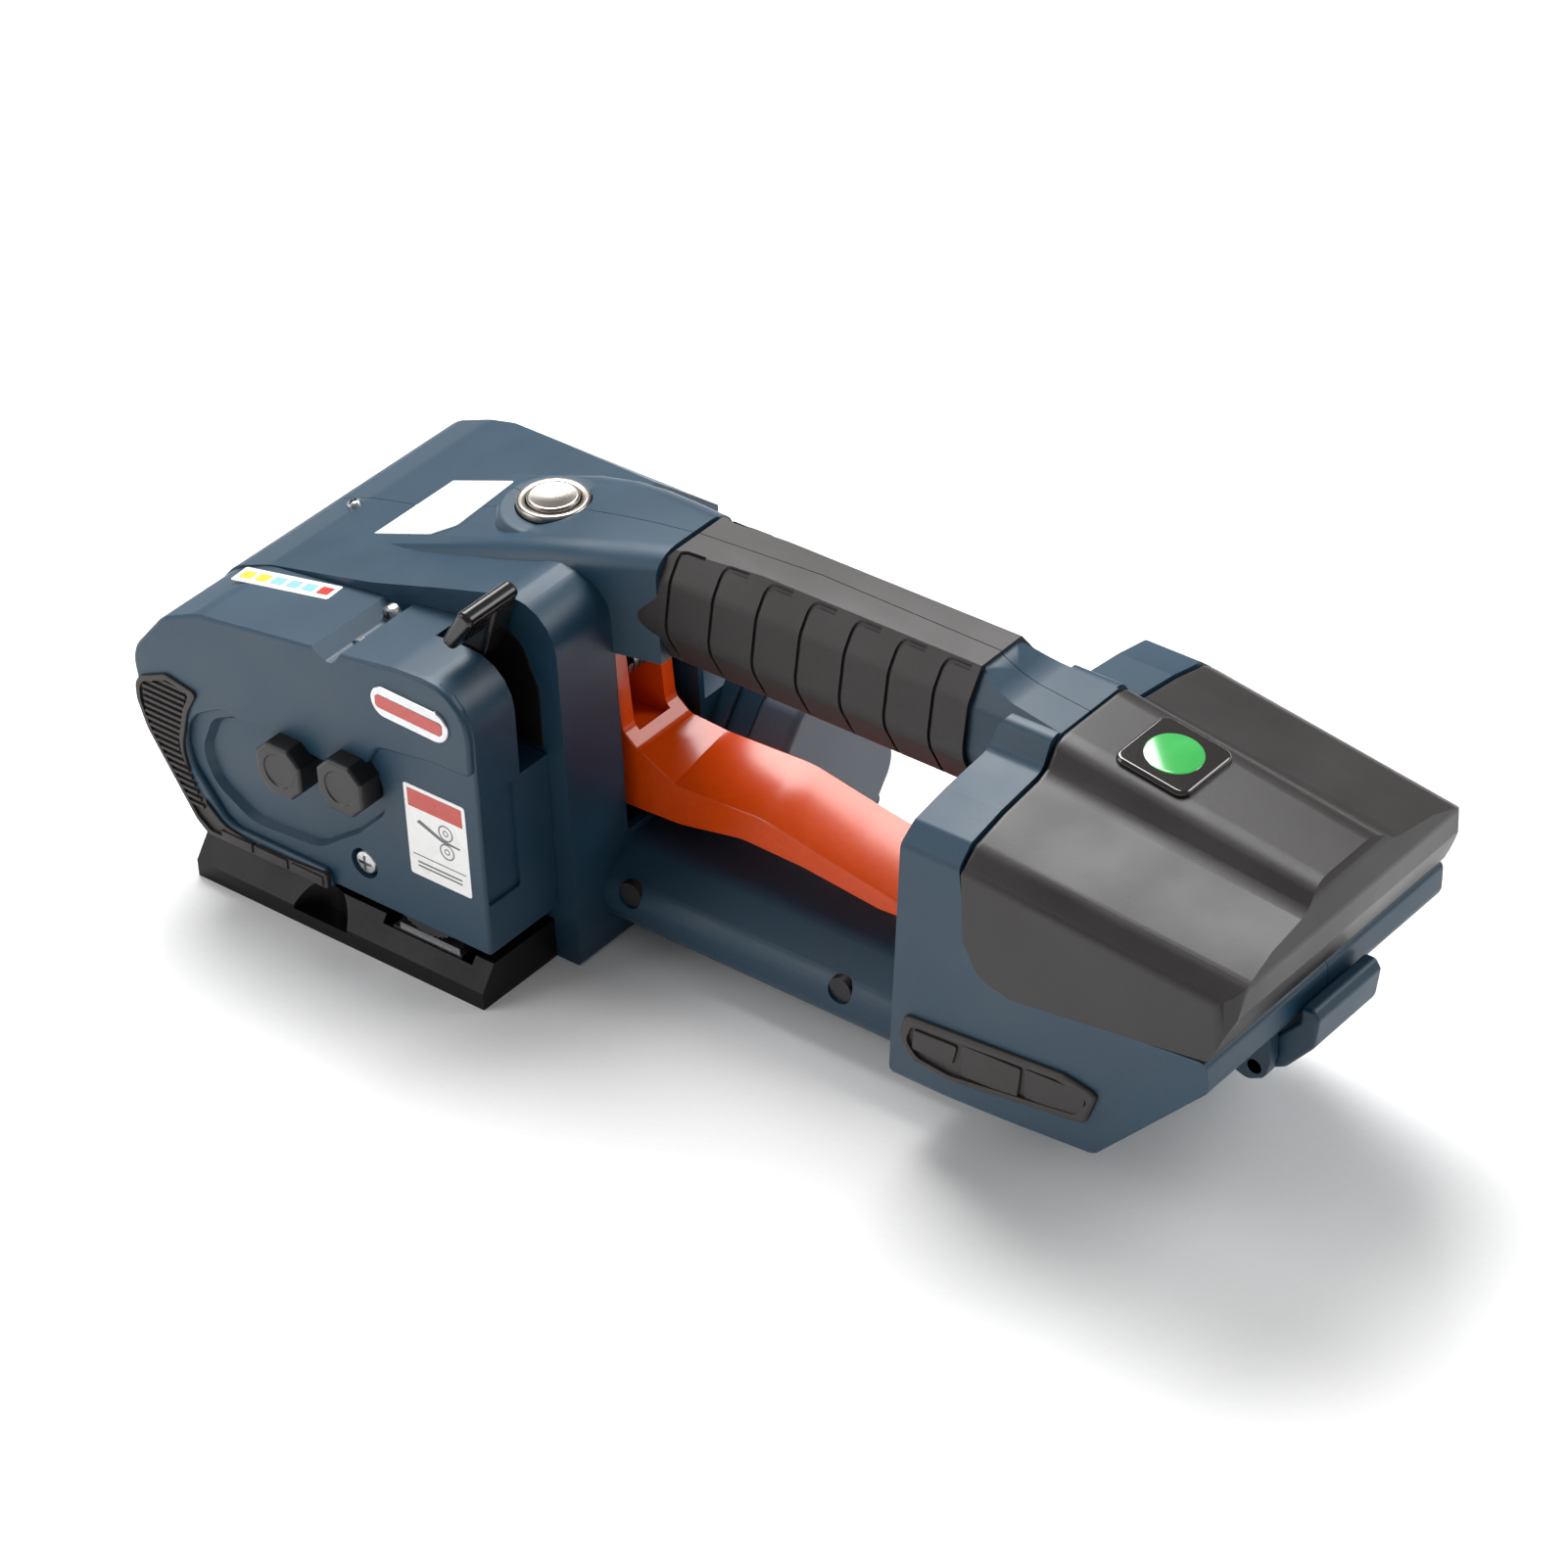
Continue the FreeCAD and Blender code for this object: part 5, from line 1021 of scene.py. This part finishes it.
@dataclass
class GripSleeve:
    """Two rubber half sleeves with grooves between their finger pads."""

    middle: float = 35.0
    half: float = 16.6
    low: float = 82.4
    top: float = 117.6
    start: float = 66.0
    end: float = 164.0
    pads: int = 7

    def section(self, inset: float) -> list[Corner]:
        """The sleeve's end view, drawn in by an inset.

        Args:
            inset: How far every side moves in.

        Returns:
            The corners, in order.
        """
        rows = []
        for side in (1, -1):
            part = [(self.middle + side * (self.half - 6.5), self.low + inset, 5),
                    (self.middle + side * (self.half - inset), self.low + 13.5, 9),
                    (self.middle + side * (self.half - 3 - inset), self.top - 8.6, 7),
                    (self.middle + side * (self.half - 9.4), self.top - inset, 3)]
            rows += part if side > 0 else part[::-1]
        return rows

    def limit(self, rise: float) -> Form:
        """The sleeve's side view: a sloping top and a slanting front edge.

        Args:
            rise: How far the top is raised.

        Returns:
            The solid that the sleeve is kept within.
        """
        side = [(self.start, 60), (self.start - 3, 94, 12), (self.start + 4, 113, 8),
                (self.start + 6, self.top - 2.4 + rise), (110, self.top + rise),
                (self.end, self.top - 0.8 + rise), (self.end, 60)]
        return Form.prism(View.SIDE, side, 0, 80)

    def groove(self, x: float, side: int) -> Form:
        """One hooked groove in plan: round the side and a short way along the top.

        Args:
            x: Where the groove starts.
            side: Minus one for the near side, one for the far side.

        Returns:
            The groove, to be cut out.
        """
        wide, hook, reach = 1.0, 8.0, 8.0
        y = self.middle + side * reach
        out = self.middle + side * 30
        corners = [(x, out), (x + wide, out), (x + wide, y + side * wide, 1.8),
                   (x + hook, y + side * wide), (x + hook, y), (x, y, 2.6)]
        return Form.prism(View.PLAN, corners, 60, 130)

    def build(self) -> None:
        """Makes both half sleeves."""
        outer = Form.prism(View.END, self.section(0), 58, self.end + 4, 6).common(self.limit(0))
        core = Form.prism(View.END, self.section(0.9), 58, self.end + 4, 6).common(self.limit(-0.9))
        pitch = (self.end - self.start - 4) / self.pads
        grooves = [self.groove(self.start + 7 + pitch * k, side) for k in range(self.pads)
                   for side in (-1, 1)]
        outer.cut(Form().with_parts(*grooves))
        outer.join(core)
        outer.cut(Form.prism(View.END, self.section(1.65), 50, 180, 6).common(self.limit(-1.7)))
        for word, low, high in (("near", -20, self.middle - 0.12), ("far", self.middle + 0.12, 90)):
            half = outer.copy().common(Form.box((50, 180), (low, high), (60, 130)))
            half.publish("grip_sleeve_" + word, SOFT_GRIP, "housing", "grip_rubber", ["grip_" + word])


# ------------------------------------------------------------------ battery

@dataclass
class Battery:
    """The slide-on battery with its raised crest and domed badge."""

    middle: float = 35.0
    front: float = 189.35
    rear: float = 264.0

    def section(self, x: float, drop: float, narrow: float) -> list[Vector]:
        """One cross-section at x, lower and narrower than the dock's.

        Args:
            x: Where the section lies.
            drop: How much lower than the dock it is.
            narrow: How much narrower each side is.

        Returns:
            Its points, in order.
        """
        half = [(10.5 - 0.3 * narrow, 110 - drop), (14 - 0.3 * narrow, 109 - drop),
                (17.5 - 0.3 * narrow, 104 - 0.78 * drop), (21 - 0.3 * narrow, 102.6 - 0.75 * drop),
                (33.6 - 0.6 * narrow, 101 - 0.75 * drop), (45 - narrow, 98.5 - 0.8 * drop),
                (50 - narrow, 94 - 0.8 * drop), (50 - narrow, 50)]
        right = [Vector((x, self.middle + y, z)) for y, z in half]
        left = [Vector((x, self.middle - y, z)) for y, z in reversed(half)]
        return right + left

    def case(self) -> Form:
        """The whole case before it is parted.

        Returns:
            The solid case.
        """
        form = Form.loft([self.section(self.front, 0, 0), self.section(self.rear + 6, 13, 3)])
        form.soften(2.4, sharp_edges(12, 80), 3)
        side = [(self.front, 73.3, 2), (193.35, 64.6, 6), (202.3, 61.8, 8), (257, 67.3, 2), (263, 80, 3),
                (264.4, 88, 5), (261.5, 103, 13), (self.front, 120)]
        plan = [(180, -15.5), (self.rear + 1, -12.5, 9), (self.rear + 1, 82.5, 9), (180, 85.5)]
        form.common(Form.prism(View.SIDE, side, -20, 90, 8), Form.prism(View.PLAN, plan, 40, 130, 6))
        return form.soften(1.3, sharp_edges(40), 3)

    def build(self) -> None:
        """Makes the case halves and the badge."""
        form = self.case()
        form.cut(Form.box((192.5, 254), (-6, 76), (70, 81)),
                 Form.box((186, 194), (20, 50), (73.3, 85.3)))
        split = 73.0
        upper = form.copy().common(Form.box((180, 290), (-40, 110), (split, 130)))
        lower = form.common(Form.box((180, 290), (-40, 110), (40, split)))
        upper.publish("battery_lid_shell", PACK_ABS, "battery", "battery_plastic",
                      ["battery_case_upper"])
        lower.publish("battery_tray_shell", PACK_ABS, "battery", "battery_plastic",
                      ["battery_case_lower"])
        self.contacts()
        self.badge()

    def contacts(self) -> None:
        """The slotted contact block behind the opening in the battery's front."""
        block = Form.box((194.2, 197.5), (19, 51), (73, 87))
        for y in (23, 29, 39, 45):
            block.cut(Form.box((192, 196.8), (y - 0.9, y + 2.9), (75.5, 84.5)))
        block.publish("battery_contact_block", KNOB_PHENOLIC, "battery", "black_plastic")

    def badge(self) -> None:
        """A domed square plate with a plain green disc."""
        turn = Matrix.Rotation(math.radians(9.2), 4, "Y")
        tilt = Matrix.Translation((213.5, self.middle, 106.25)) @ turn
        square = [(-10.5, -10.5, 3), (10.5, -10.5, 3), (10.5, 10.5, 3), (-10.5, 10.5, 3)]
        plate = Form.prism(View.PLAN, square, -0.6, 1.3).soften(1.0, rim(View.PLAN, 1.3), 4)
        plate.moved(tilt)
        plate.publish("battery_badge_plate", DOME_BLACK, "battery", "battery_plastic")
        dome = [(0, 0.9), (7.2, 0.9), (7.2, 1.4), (6.6, 1.65), (0, 1.7)]
        disc = Form.turned(dome, (0, 0, 0), View.PLAN).moved(tilt)
        disc.publish("battery_badge_disc", DOME_GREEN, "battery", "battery_plastic")

    def latch(self) -> None:
        """Makes the sprung tongue that holds the battery on the dock."""
        outline = [(243.5, 42.5, 1), (258.2, 57.8, 1), (258.4, 62.3, 1.4), (262, 62.3, 1.6),
                   (263.5, 59.8, 1.5), (262, 51.3, 4), (254, 42.3, 3), (247, 38.8, 2.5)]
        form = Form.prism(View.SIDE, outline, 22, 48).soften(1.2, rim(View.SIDE, 22, 48), 3)
        form.publish("battery_latch_tongue", SHELL_NYLON, "battery_latch", "battery_plastic",
                     ["battery_latch"])


@dataclass
class DockBumpers:
    """The rubber pads low on both sides of the dock."""

    sides: tuple[tuple[str, int, float], ...] = (("near", -1, -10.3), ("far", 1, 80.3))
    blocks: tuple[Corner, ...] = ((169.5, 182, 30.5, 37.2), (184, 201, 29, 39.4), (203, 220, 31.4, 41))
    thick: float = 1.5
    lip: float = 2.2
    slope: float = 4.4

    def pad_outline(self, inset: float) -> list[Corner]:
        """The pad's side view, drawn in by an inset.

        Args:
            inset: How far every side moves in.

        Returns:
            The corners, in order.
        """
        return [(166 + inset, 33, 3), (168.4 + inset, 40.6 - inset, 2),
                (215.5 - inset, 44.6 - inset, 2), (225.4 - inset, 42.6 - inset, 2),
                (220.6 - inset, 31.4 + inset, 3), (181, 25.4 + inset, 6),
                (169 + inset, 26.4 + inset, 3)]

    def build(self) -> None:
        """Makes both pads, each with three raised blocks in a tray."""
        for word, sense, face in self.sides:
            outer = face + sense * self.thick
            low, high = sorted((outer, face - sense * 3))
            form = Form.prism(View.SIDE, self.pad_outline(0), low, high)
            form.soften(1.0, rim(View.SIDE, outer), 3)
            tray_low, tray_high = sorted((outer - sense * 0.9, outer + sense * 2))
            form.cut(Form.prism(View.SIDE, self.pad_outline(self.lip), tray_low, tray_high))
            form.with_parts(*(self.block(limits, outer, sense) for limits in self.blocks))
            form.moved(self.lean(sense))
            form.publish("dock_pad_" + word, SOFT_GRIP, "housing", "grip_rubber",
                         ["dock_bumper_" + word])

    def block(self, limits: Corner, outer: float, sense: int) -> Form:
        """One raised block in the tray.

        Args:
            limits: Its ends along X, then along Z.
            outer: The pad's outer face.
            sense: Minus one for the near side, one for the far side.

        Returns:
            The solid block.
        """
        x0, x1, z0, z1 = limits
        corners = [(x0, z0, 0.8), (x1, z0 + 1, 0.8), (x1 + 2, z1 + 0.8, 0.8), (x0 + 1.5, z1, 0.8)]
        face = outer - sense * 0.2
        form = Form.prism(View.SIDE, corners, outer - sense * 1.4, face)
        return form.soften(0.4, rim(View.SIDE, face), 2)

    def lean(self, sense: int) -> Matrix:
        """The small turn that lays a pad on the dock's drawn-in side.

        Args:
            sense: Minus one for the near side, one for the far side.

        Returns:
            The turn.
        """
        pivot = Vector((195, 35 + sense * 44.7, 36))
        turn = Matrix.Rotation(math.radians(-self.slope * sense), 4, "X")
        return Matrix.Translation(pivot) @ turn @ Matrix.Translation(-pivot)


# ------------------------------------------------------------------ levers, motor, controls

@dataclass
class Levers:
    """The orange lift lever and the black welding lever."""

    lift_near: float = 23.0
    lift_far: float = 44.0
    lift_pin: tuple[float, float] = (46.0, 72.0)
    edge_drop: float = 4.6
    weld_near: float = -12.9
    weld_far: float = -3.9
    weld_pin: tuple[float, float] = (22.0, 66.0)
    pad_near: float = -22.4

    def lift_lever(self) -> None:
        """Makes the lever under the handle, with a top that falls away to its near edge."""
        outline = [(38, 64, 2), (38, 80, 3), (51.6, 80, 2), (53, 55.5, 3), (57.5, 51.6, 3),
                   (70, 50.8, 20), (97, 52, 30), (120, 47.5, 40), (155, 42), (155, 36.5), (133, 35, 10),
                   (110, 37.5, 30), (90, 38, 20), (70, 34, 20), (50, 33, 6), (43, 40, 4)]
        near, far = self.lift_near, self.lift_far
        form = Form.prism(View.SIDE, outline, near, far, 8)
        top = [v for v in form.bm.verts
               if v.co.y < near + 0.1 and v.co.x > 61 and v.co.z > 38.6 + 0.02 * (v.co.x - 61)]
        bmesh.ops.translate(form.bm, vec=(0, 0, -self.edge_drop), verts=top)
        form.soften(0.7, rim(View.SIDE, near, far), 3)
        form.cut(Form.box((30, 54.6), (27.5, 39.5), (52.4, 100)))
        x, z = self.lift_pin
        form.cut(Form.rod(3.05, 60, (x, 0, z), View.SIDE, 24))
        form.publish("lift_lever_blade", LEVER_ABS, "release_lever", "lever_plastic", ["release_lever"])

    def weld_lever(self) -> None:
        """Makes the black lever that stands out of the cover's slot."""
        low, high = self.weld_near, self.weld_far
        outline = [(14.2, 68, 6), (16, 59.2, 6), (27.5, 59.2, 6), (28, 70, 2), (34.5, 81.4, 12),
                   (42, 94, 14), (47.4, 109.6, 1.6), (43, 111.6, 2), (35.5, 97, 10), (20, 76, 10)]
        blade = Form.prism(View.SIDE, outline, low, high, 6)
        blade.soften(1.6, rim(View.SIDE, low, high), 3)
        corners = [(37.0, 101.7, 1.4), (40.4, 99.6, 1.4), (48.4, 110.6, 1.9), (44.2, 113.2, 1.9)]
        pad = Form.prism(View.SIDE, corners, self.pad_near, high, 6)
        pad.soften(1.5, rim(View.SIDE, self.pad_near, high), 3)
        form = blade.join(pad)
        x, z = self.weld_pin
        form.cut(Form.rod(4, 40, (x, -30, z), View.SIDE, 32))
        # Painted shade: a thin black sheet laid over the housing's blue wall at the back of the lever slot
        # stands in for the shade inside the slot.
        wall = [(20, 65), (50.4, 65), (50.4, 82), (46, 93, 4), (38, 98.5, 6), (28, 92), (20, 78)]
        slot_shade_sheet = Form.prism(View.SIDE, wall, -3.5, -3.0)
        slot_shade_sheet.publish("lever_slot_painted_shade", KNOB_PHENOLIC, "housing", "black_plastic")
        form.publish("weld_lever_blade", DIPPED_STEEL, "weld_lever", "lever_alloy", ["weld_lever"])


@dataclass
class MotorHousing:
    """The housing round the rear end of the motor."""

    across: float = 70.0
    height: float = 24.9
    rise: float = 3.2

    def ring(self, radius: float, rounding: float) -> list[Corner]:
        """The eight-sided end view at one radius."""
        middle = (self.across, self.height + self.rise)
        return octagon(middle, radius, radius + self.rise - 0.6, radius * 0.46, rounding)

    def build(self) -> None:
        """Makes the cover, waisted in the middle, and the end cap."""
        cover = Form.prism(View.END, self.ring(23.6, 3), 43.5, 62).soften(1.2, rim(View.END, 62), 3)
        waist = Form.prism(View.END, self.ring(22.4, 3), 58, 66)
        flare = Form.prism(View.END, self.ring(24.4, 3), 64, 70).soften(1.0, rim(View.END, 64), 3)
        cover.join(waist, flare)
        bore = Form.rod(19, 30, (46.1, self.across, self.height), View.END)
        cover.cut(bore, Form.box((42, 57), (20, 81), (-10, 90)))
        cover.publish("motor_shell", SHELL_NYLON, "housing", "housing_plastic", ["motor_cover"])
        cap = Form.prism(View.END, self.ring(24.0, 9), 70.05, 82).soften(2.2, rim(View.END, 82), 4)
        cap.cut(Form.rod(19, 10.5, (69, self.across, self.height), View.END))
        cap.publish("motor_cap_shell", CAP_NYLON, "housing", "cap_plastic", ["motor_end_cap"])


@dataclass
class Controls:
    """The start button, the two knobs and the bright screws."""

    button: tuple[float, float, float] = (24.4, 35.0, 108.0)
    knob_places: tuple[tuple[str, float, float], ...] = (("tension_knob", -10.0, 51.5),
                                                         ("weld_time_knob", 11.0, 55.0))
    knob_radius: float = 7.5
    knob_side: float = 3.6
    knob_face: float = -36.0

    def start_button(self) -> None:
        """Makes the turned bezel and the dished cap inside it."""
        x, y, z = self.button
        ring = [(6.95, -22), (8, -22), (8, -2), (9.5, -2), (9.5, -0.6), (9.1, -0.1), (8.4, 0.1),
                (7.2, -0.2), (6.95, -0.6), (6.95, -22)]
        bezel = Form.turned(ring, (x, y, z), View.PLAN, 64)
        bezel.publish("button_bezel_ring", BUTTON_STEEL, "housing", "bright_steel", ["button_bezel"], 50)
        dish = [(0, -5.5), (6.75, -5.5), (6.75, 0.3), (6.45, 0.7), (5.8, 0.75), (3, 0.1), (0, -0.1)]
        cap = Form.turned(dish, (x, y, z), View.PLAN, 64)
        cap.publish("button_cap", BUTTON_STEEL, "start_button", "bright_steel", ["start_button"], 50)

    def knobs(self) -> None:
        """Makes both eight-sided knobs."""
        radius, face = self.knob_radius, self.knob_face
        for name, x, z in self.knob_places:
            corners = octagon((x, z), radius, radius, self.knob_side, 0.8)
            form = Form.prism(View.SIDE, corners, face, -28.3, 3).soften(0.9, rim(View.SIDE, face), 3)
            hollow = [(0, 0), (5.2, 0), (4.6, 0.5), (0, 0.6)]
            dish = Form.turned(hollow, (x, face - 0.2, z), View.SIDE, 32)
            stem = Form.rod(3, 5, (x, -28.4, z), View.SIDE, 24)
            form.cut(dish)
            form.join(stem)
            form.publish(name + "_cap", KNOB_PHENOLIC, name, "black_plastic", [name])

    def screw_head(self, centre: Sequence[float], turn: Matrix, radius: float = 3.4) -> Form:
        """A pan head with a cross recess, its top facing up before the turn.

        Args:
            centre: The middle of its seat.
            turn: The turn that aims it.
            radius: Half its width.

        Returns:
            The solid head.
        """
        head = Form.turned([(0, -1.6), (radius, -1.6), (radius, 0), (radius * 0.86, 0.7),
                            (radius * 0.5, 1.05), (0, 1.15)], (0, 0, 0), View.PLAN, 32)
        for wide, long in ((0.45, radius * 0.62), (radius * 0.62, 0.45)):
            head.cut(Form.box((-wide, wide), (-long, long), (-0.4, 2)))
        return head.moved(Matrix.Translation(centre) @ turn)

    def screws(self) -> None:
        """Makes the bright heads that show on the cover and the head."""
        to_near = Matrix.Rotation(math.pi / 2, 4, "X")
        lean = Matrix.Rotation(math.radians(-20), 4, "Y")
        spots = {"cover_screw_low": ((10, -27.75, 27.6), to_near, 3.5),
                 "cover_screw_top": ((7, -8.0, 89.6), to_near, 2.7),
                 "head_screw": ((-41, 30.5, 84.2), lean, 2.0)}
        for name, (centre, turn, radius) in spots.items():
            self.screw_head(centre, turn, radius).publish(name, SCREW_ZINC, "housing", "black_steel")


@dataclass
class Labels:
    """Blank labels and badges, without any wording."""

    cover_face: float = -28.92
    print_rise: float = 0.2
    film: float = 0.15
    badge_wide: float = 12.6
    badge_high: float = 4.6

    def near_label(self) -> None:
        """The white label low on the cover: a red band, a grey picture field and a foot line."""
        y = self.cover_face
        front = y - self.print_rise
        corners = [(26.5, 32.3, 0.8), (46.6, 32.3, 0.8), (46.6, 59.8, 0.8), (26.5, 59.8, 0.8)]
        base = Form.prism(View.SIDE, corners, y - 0.16, y + 0.1)
        base.publish("cover_label", LABEL_WHITE, "housing", "housing_plastic")
        band = Form.box((27.6, 45.5), (front, y), (53.2, 58.7))
        band.publish("cover_label_band", LABEL_RED, "housing", "housing_plastic")
        marks = Form.box((27.8, 45.3), (front, y), (38.6, 38.9))
        rings = [[(inner, 0), (outer, 0), (outer, 0.2), (inner, 0.2), (inner, 0)]
                 for inner, outer in ((2.0, 2.4), (0.6, 0.9))]
        discs = [Form.turned(ring, (39.5, front, z), View.SIDE, 32)
                 for ring in rings for z in (49.2, 43.6)]
        strap = [(30, 49), (31, 50), (38.5, 46.9), (44, 46.4), (44, 45.9), (38, 46)]
        bar = Form.prism(View.SIDE, strap, front, y)
        lines = [Form.box((29.2, 43.8), (front, y), (z, z + 0.5)) for z in (36.4, 35.2)]
        marks.with_parts(bar, *discs, *lines)
        marks.publish("cover_label_marks", LABEL_GREY, "housing", "housing_plastic")

    def oval_badge(self) -> None:
        """The chromed oval high on the cover, with a plain red stripe."""
        tilt = Matrix.Translation((32.8, -30.5, 83.2)) @ Matrix.Rotation(math.radians(2), 4, "Y")
        wide, high = self.badge_wide, self.badge_high
        outline = [(a * wide, b * high, high - 0.05) for a, b in ((-1, -1), (1, -1), (1, 1), (-1, 1))]
        plate = Form.prism(View.SIDE, outline, -0.7, 0.3, 8).soften(0.5, rim(View.SIDE, -0.7), 3)
        plate.moved(tilt)
        plate.publish("cover_badge_plate", BADGE_CHROME, "housing", "housing_plastic")
        inner = [(a * 0.86, b * 0.42, 1.2) for a, b, _ in outline]
        stripe = Form.prism(View.SIDE, inner, -0.85, 0, 6).moved(tilt)
        stripe.publish("cover_badge_stripe", LABEL_RED, "housing", "housing_plastic")

    def plate_on(self, name: str, finish: Finish, outline: Sequence[Corner], place: Matrix,
                 thick: float) -> None:
        """A thin printed plate laid on a sloping face."""
        plate = Form.prism(View.PLAN, outline, -0.12, thick).moved(place)
        plate.publish(name, finish, "housing", "housing_plastic")

    def rating_label(self) -> None:
        """The blank white label on the head's sloping top."""
        place = Matrix.Translation((-13, 35, 91.65)) @ Matrix.Rotation(math.radians(-19.9), 4, "Y")
        outline = [(-14, -16, 1), (10, -16, 1), (15, -11, 2), (12, 14, 1), (-11, 14, 1), (-15, 9, 2)]
        self.plate_on("rating_label", LABEL_WHITE, outline, place, self.film)

    def picture_label(self) -> None:
        """The narrow label on the cover's shoulder, with plain coloured spots."""
        turn = Matrix.Rotation(math.radians(-8.6), 4, "Y") @ Matrix.Rotation(math.radians(4), 4, "Z")
        place = Matrix.Translation((-28, -8.6, 86.05)) @ turn
        outline = [(-16, -3.3, 0.6), (16, -3.3, 0.6), (16, 3.3, 0.6), (-16, 3.3, 0.6)]
        self.plate_on("shoulder_label", LABEL_WHITE, outline, place, self.film)
        colours = (LABEL_YELLOW, LABEL_YELLOW, LABEL_BLUE, LABEL_BLUE, LABEL_BLUE, LABEL_RED)
        for k, colour in enumerate(colours):
            x = -12.8 + 5.1 * k
            spot = [(x - 1.9, -1.7, 0.5), (x + 1.9, -1.7, 0.5), (x + 1.9, 1.7, 0.5), (x - 1.9, 1.7, 0.5)]
            self.plate_on("shoulder_spot_%d" % (k + 1), colour, spot, place, 0.2)


# ------------------------------------------------------------------ studio

@dataclass
class Studio:
    """The pale floor, the soft lights and the camera."""

    eye: tuple[float, float, float] = (0.8667, -0.8610, 0.8903)
    right: tuple[float, float, float] = (0.7769, 0.6281, -0.0441)
    up: tuple[float, float, float] = (-0.3366, 0.4734, 0.8139)
    back: tuple[float, float, float] = (0.5321, -0.6175, 0.5793)
    lens: float = 134.9
    sensor: float = 36.0
    aim: tuple[float, float, float] = (0.1, 0.03, 0.05)
    sky: float = 0.3
    floor_reach: float = 6.0

    def camera(self) -> None:
        """Places the camera."""
        data = bpy.data.cameras.new("camera")
        data.lens = self.lens
        data.sensor_width = self.sensor
        cam = bpy.data.objects.new("camera", data)
        turn = Matrix((self.right, self.up, self.back)).transposed().to_4x4()
        cam.matrix_world = Matrix.Translation(self.eye) @ turn
        bpy.context.scene.collection.objects.link(cam)
        bpy.context.scene.camera = cam

    def light(self, name: str, place: Sequence[float], size: float, power: float) -> None:
        """A square soft box aimed at the tool.

        Args:
            name: The lamp's name.
            place: Where it hangs, in metres.
            size: The length of its side, in metres.
            power: Its power, in watts.
        """
        data = bpy.data.lights.new(name, "AREA")
        data.size = size
        data.energy = power
        lamp = bpy.data.objects.new(name, data)
        aim = Vector(self.aim) - Vector(place)
        lamp.matrix_world = Matrix.Translation(place) @ aim.to_track_quat("-Z", "Y").to_matrix().to_4x4()
        bpy.context.scene.collection.objects.link(lamp)

    def floor(self) -> None:
        """The white table."""
        bm = bmesh.new()
        bmesh.ops.create_grid(bm, x_segments=1, y_segments=1, size=self.floor_reach)
        mesh = bpy.data.meshes.new("studio_floor")
        bm.to_mesh(mesh)
        obj = bpy.data.objects.new("studio_floor", mesh)
        mesh.materials.append(PAPER.material())
        bpy.context.scene.collection.objects.link(obj)

    def build(self) -> None:
        """Sets up the whole studio."""
        self.camera()
        self.floor()
        world = bpy.data.worlds.new("studio")
        world.use_nodes = True
        shade = world.node_tree.nodes["Background"]
        shade.inputs["Color"].default_value = (1.0, 1.0, 1.0, 1.0)
        shade.inputs["Strength"].default_value = self.sky
        bpy.context.scene.world = world
        self.light("key", (-0.45, 0.5, 1.2), 0.9, 27)
        self.light("fill", (-0.9, -1.0, 0.7), 1.0, 9)
        self.light("rim", (0.9, 0.9, 0.9), 0.7, 8)
        bpy.context.scene.view_settings.view_transform = "Standard"


def main() -> None:
    """Builds every piece in order."""
    logging.basicConfig(level=logging.INFO)
    Studio().build()
    dress_nodes()
    Housing().build()
    cover = SideCover()
    cover.build()
    cover.bumper()
    GripSleeve().build()
    battery = Battery()
    battery.build()
    battery.latch()
    DockBumpers().build()
    levers = Levers()
    levers.lift_lever()
    levers.weld_lever()
    MotorHousing().build()
    controls = Controls()
    controls.start_button()
    controls.knobs()
    controls.screws()
    labels = Labels()
    labels.near_label()
    labels.oval_badge()
    labels.rating_label()
    labels.picture_label()


if __name__ == "__main__":
    main()
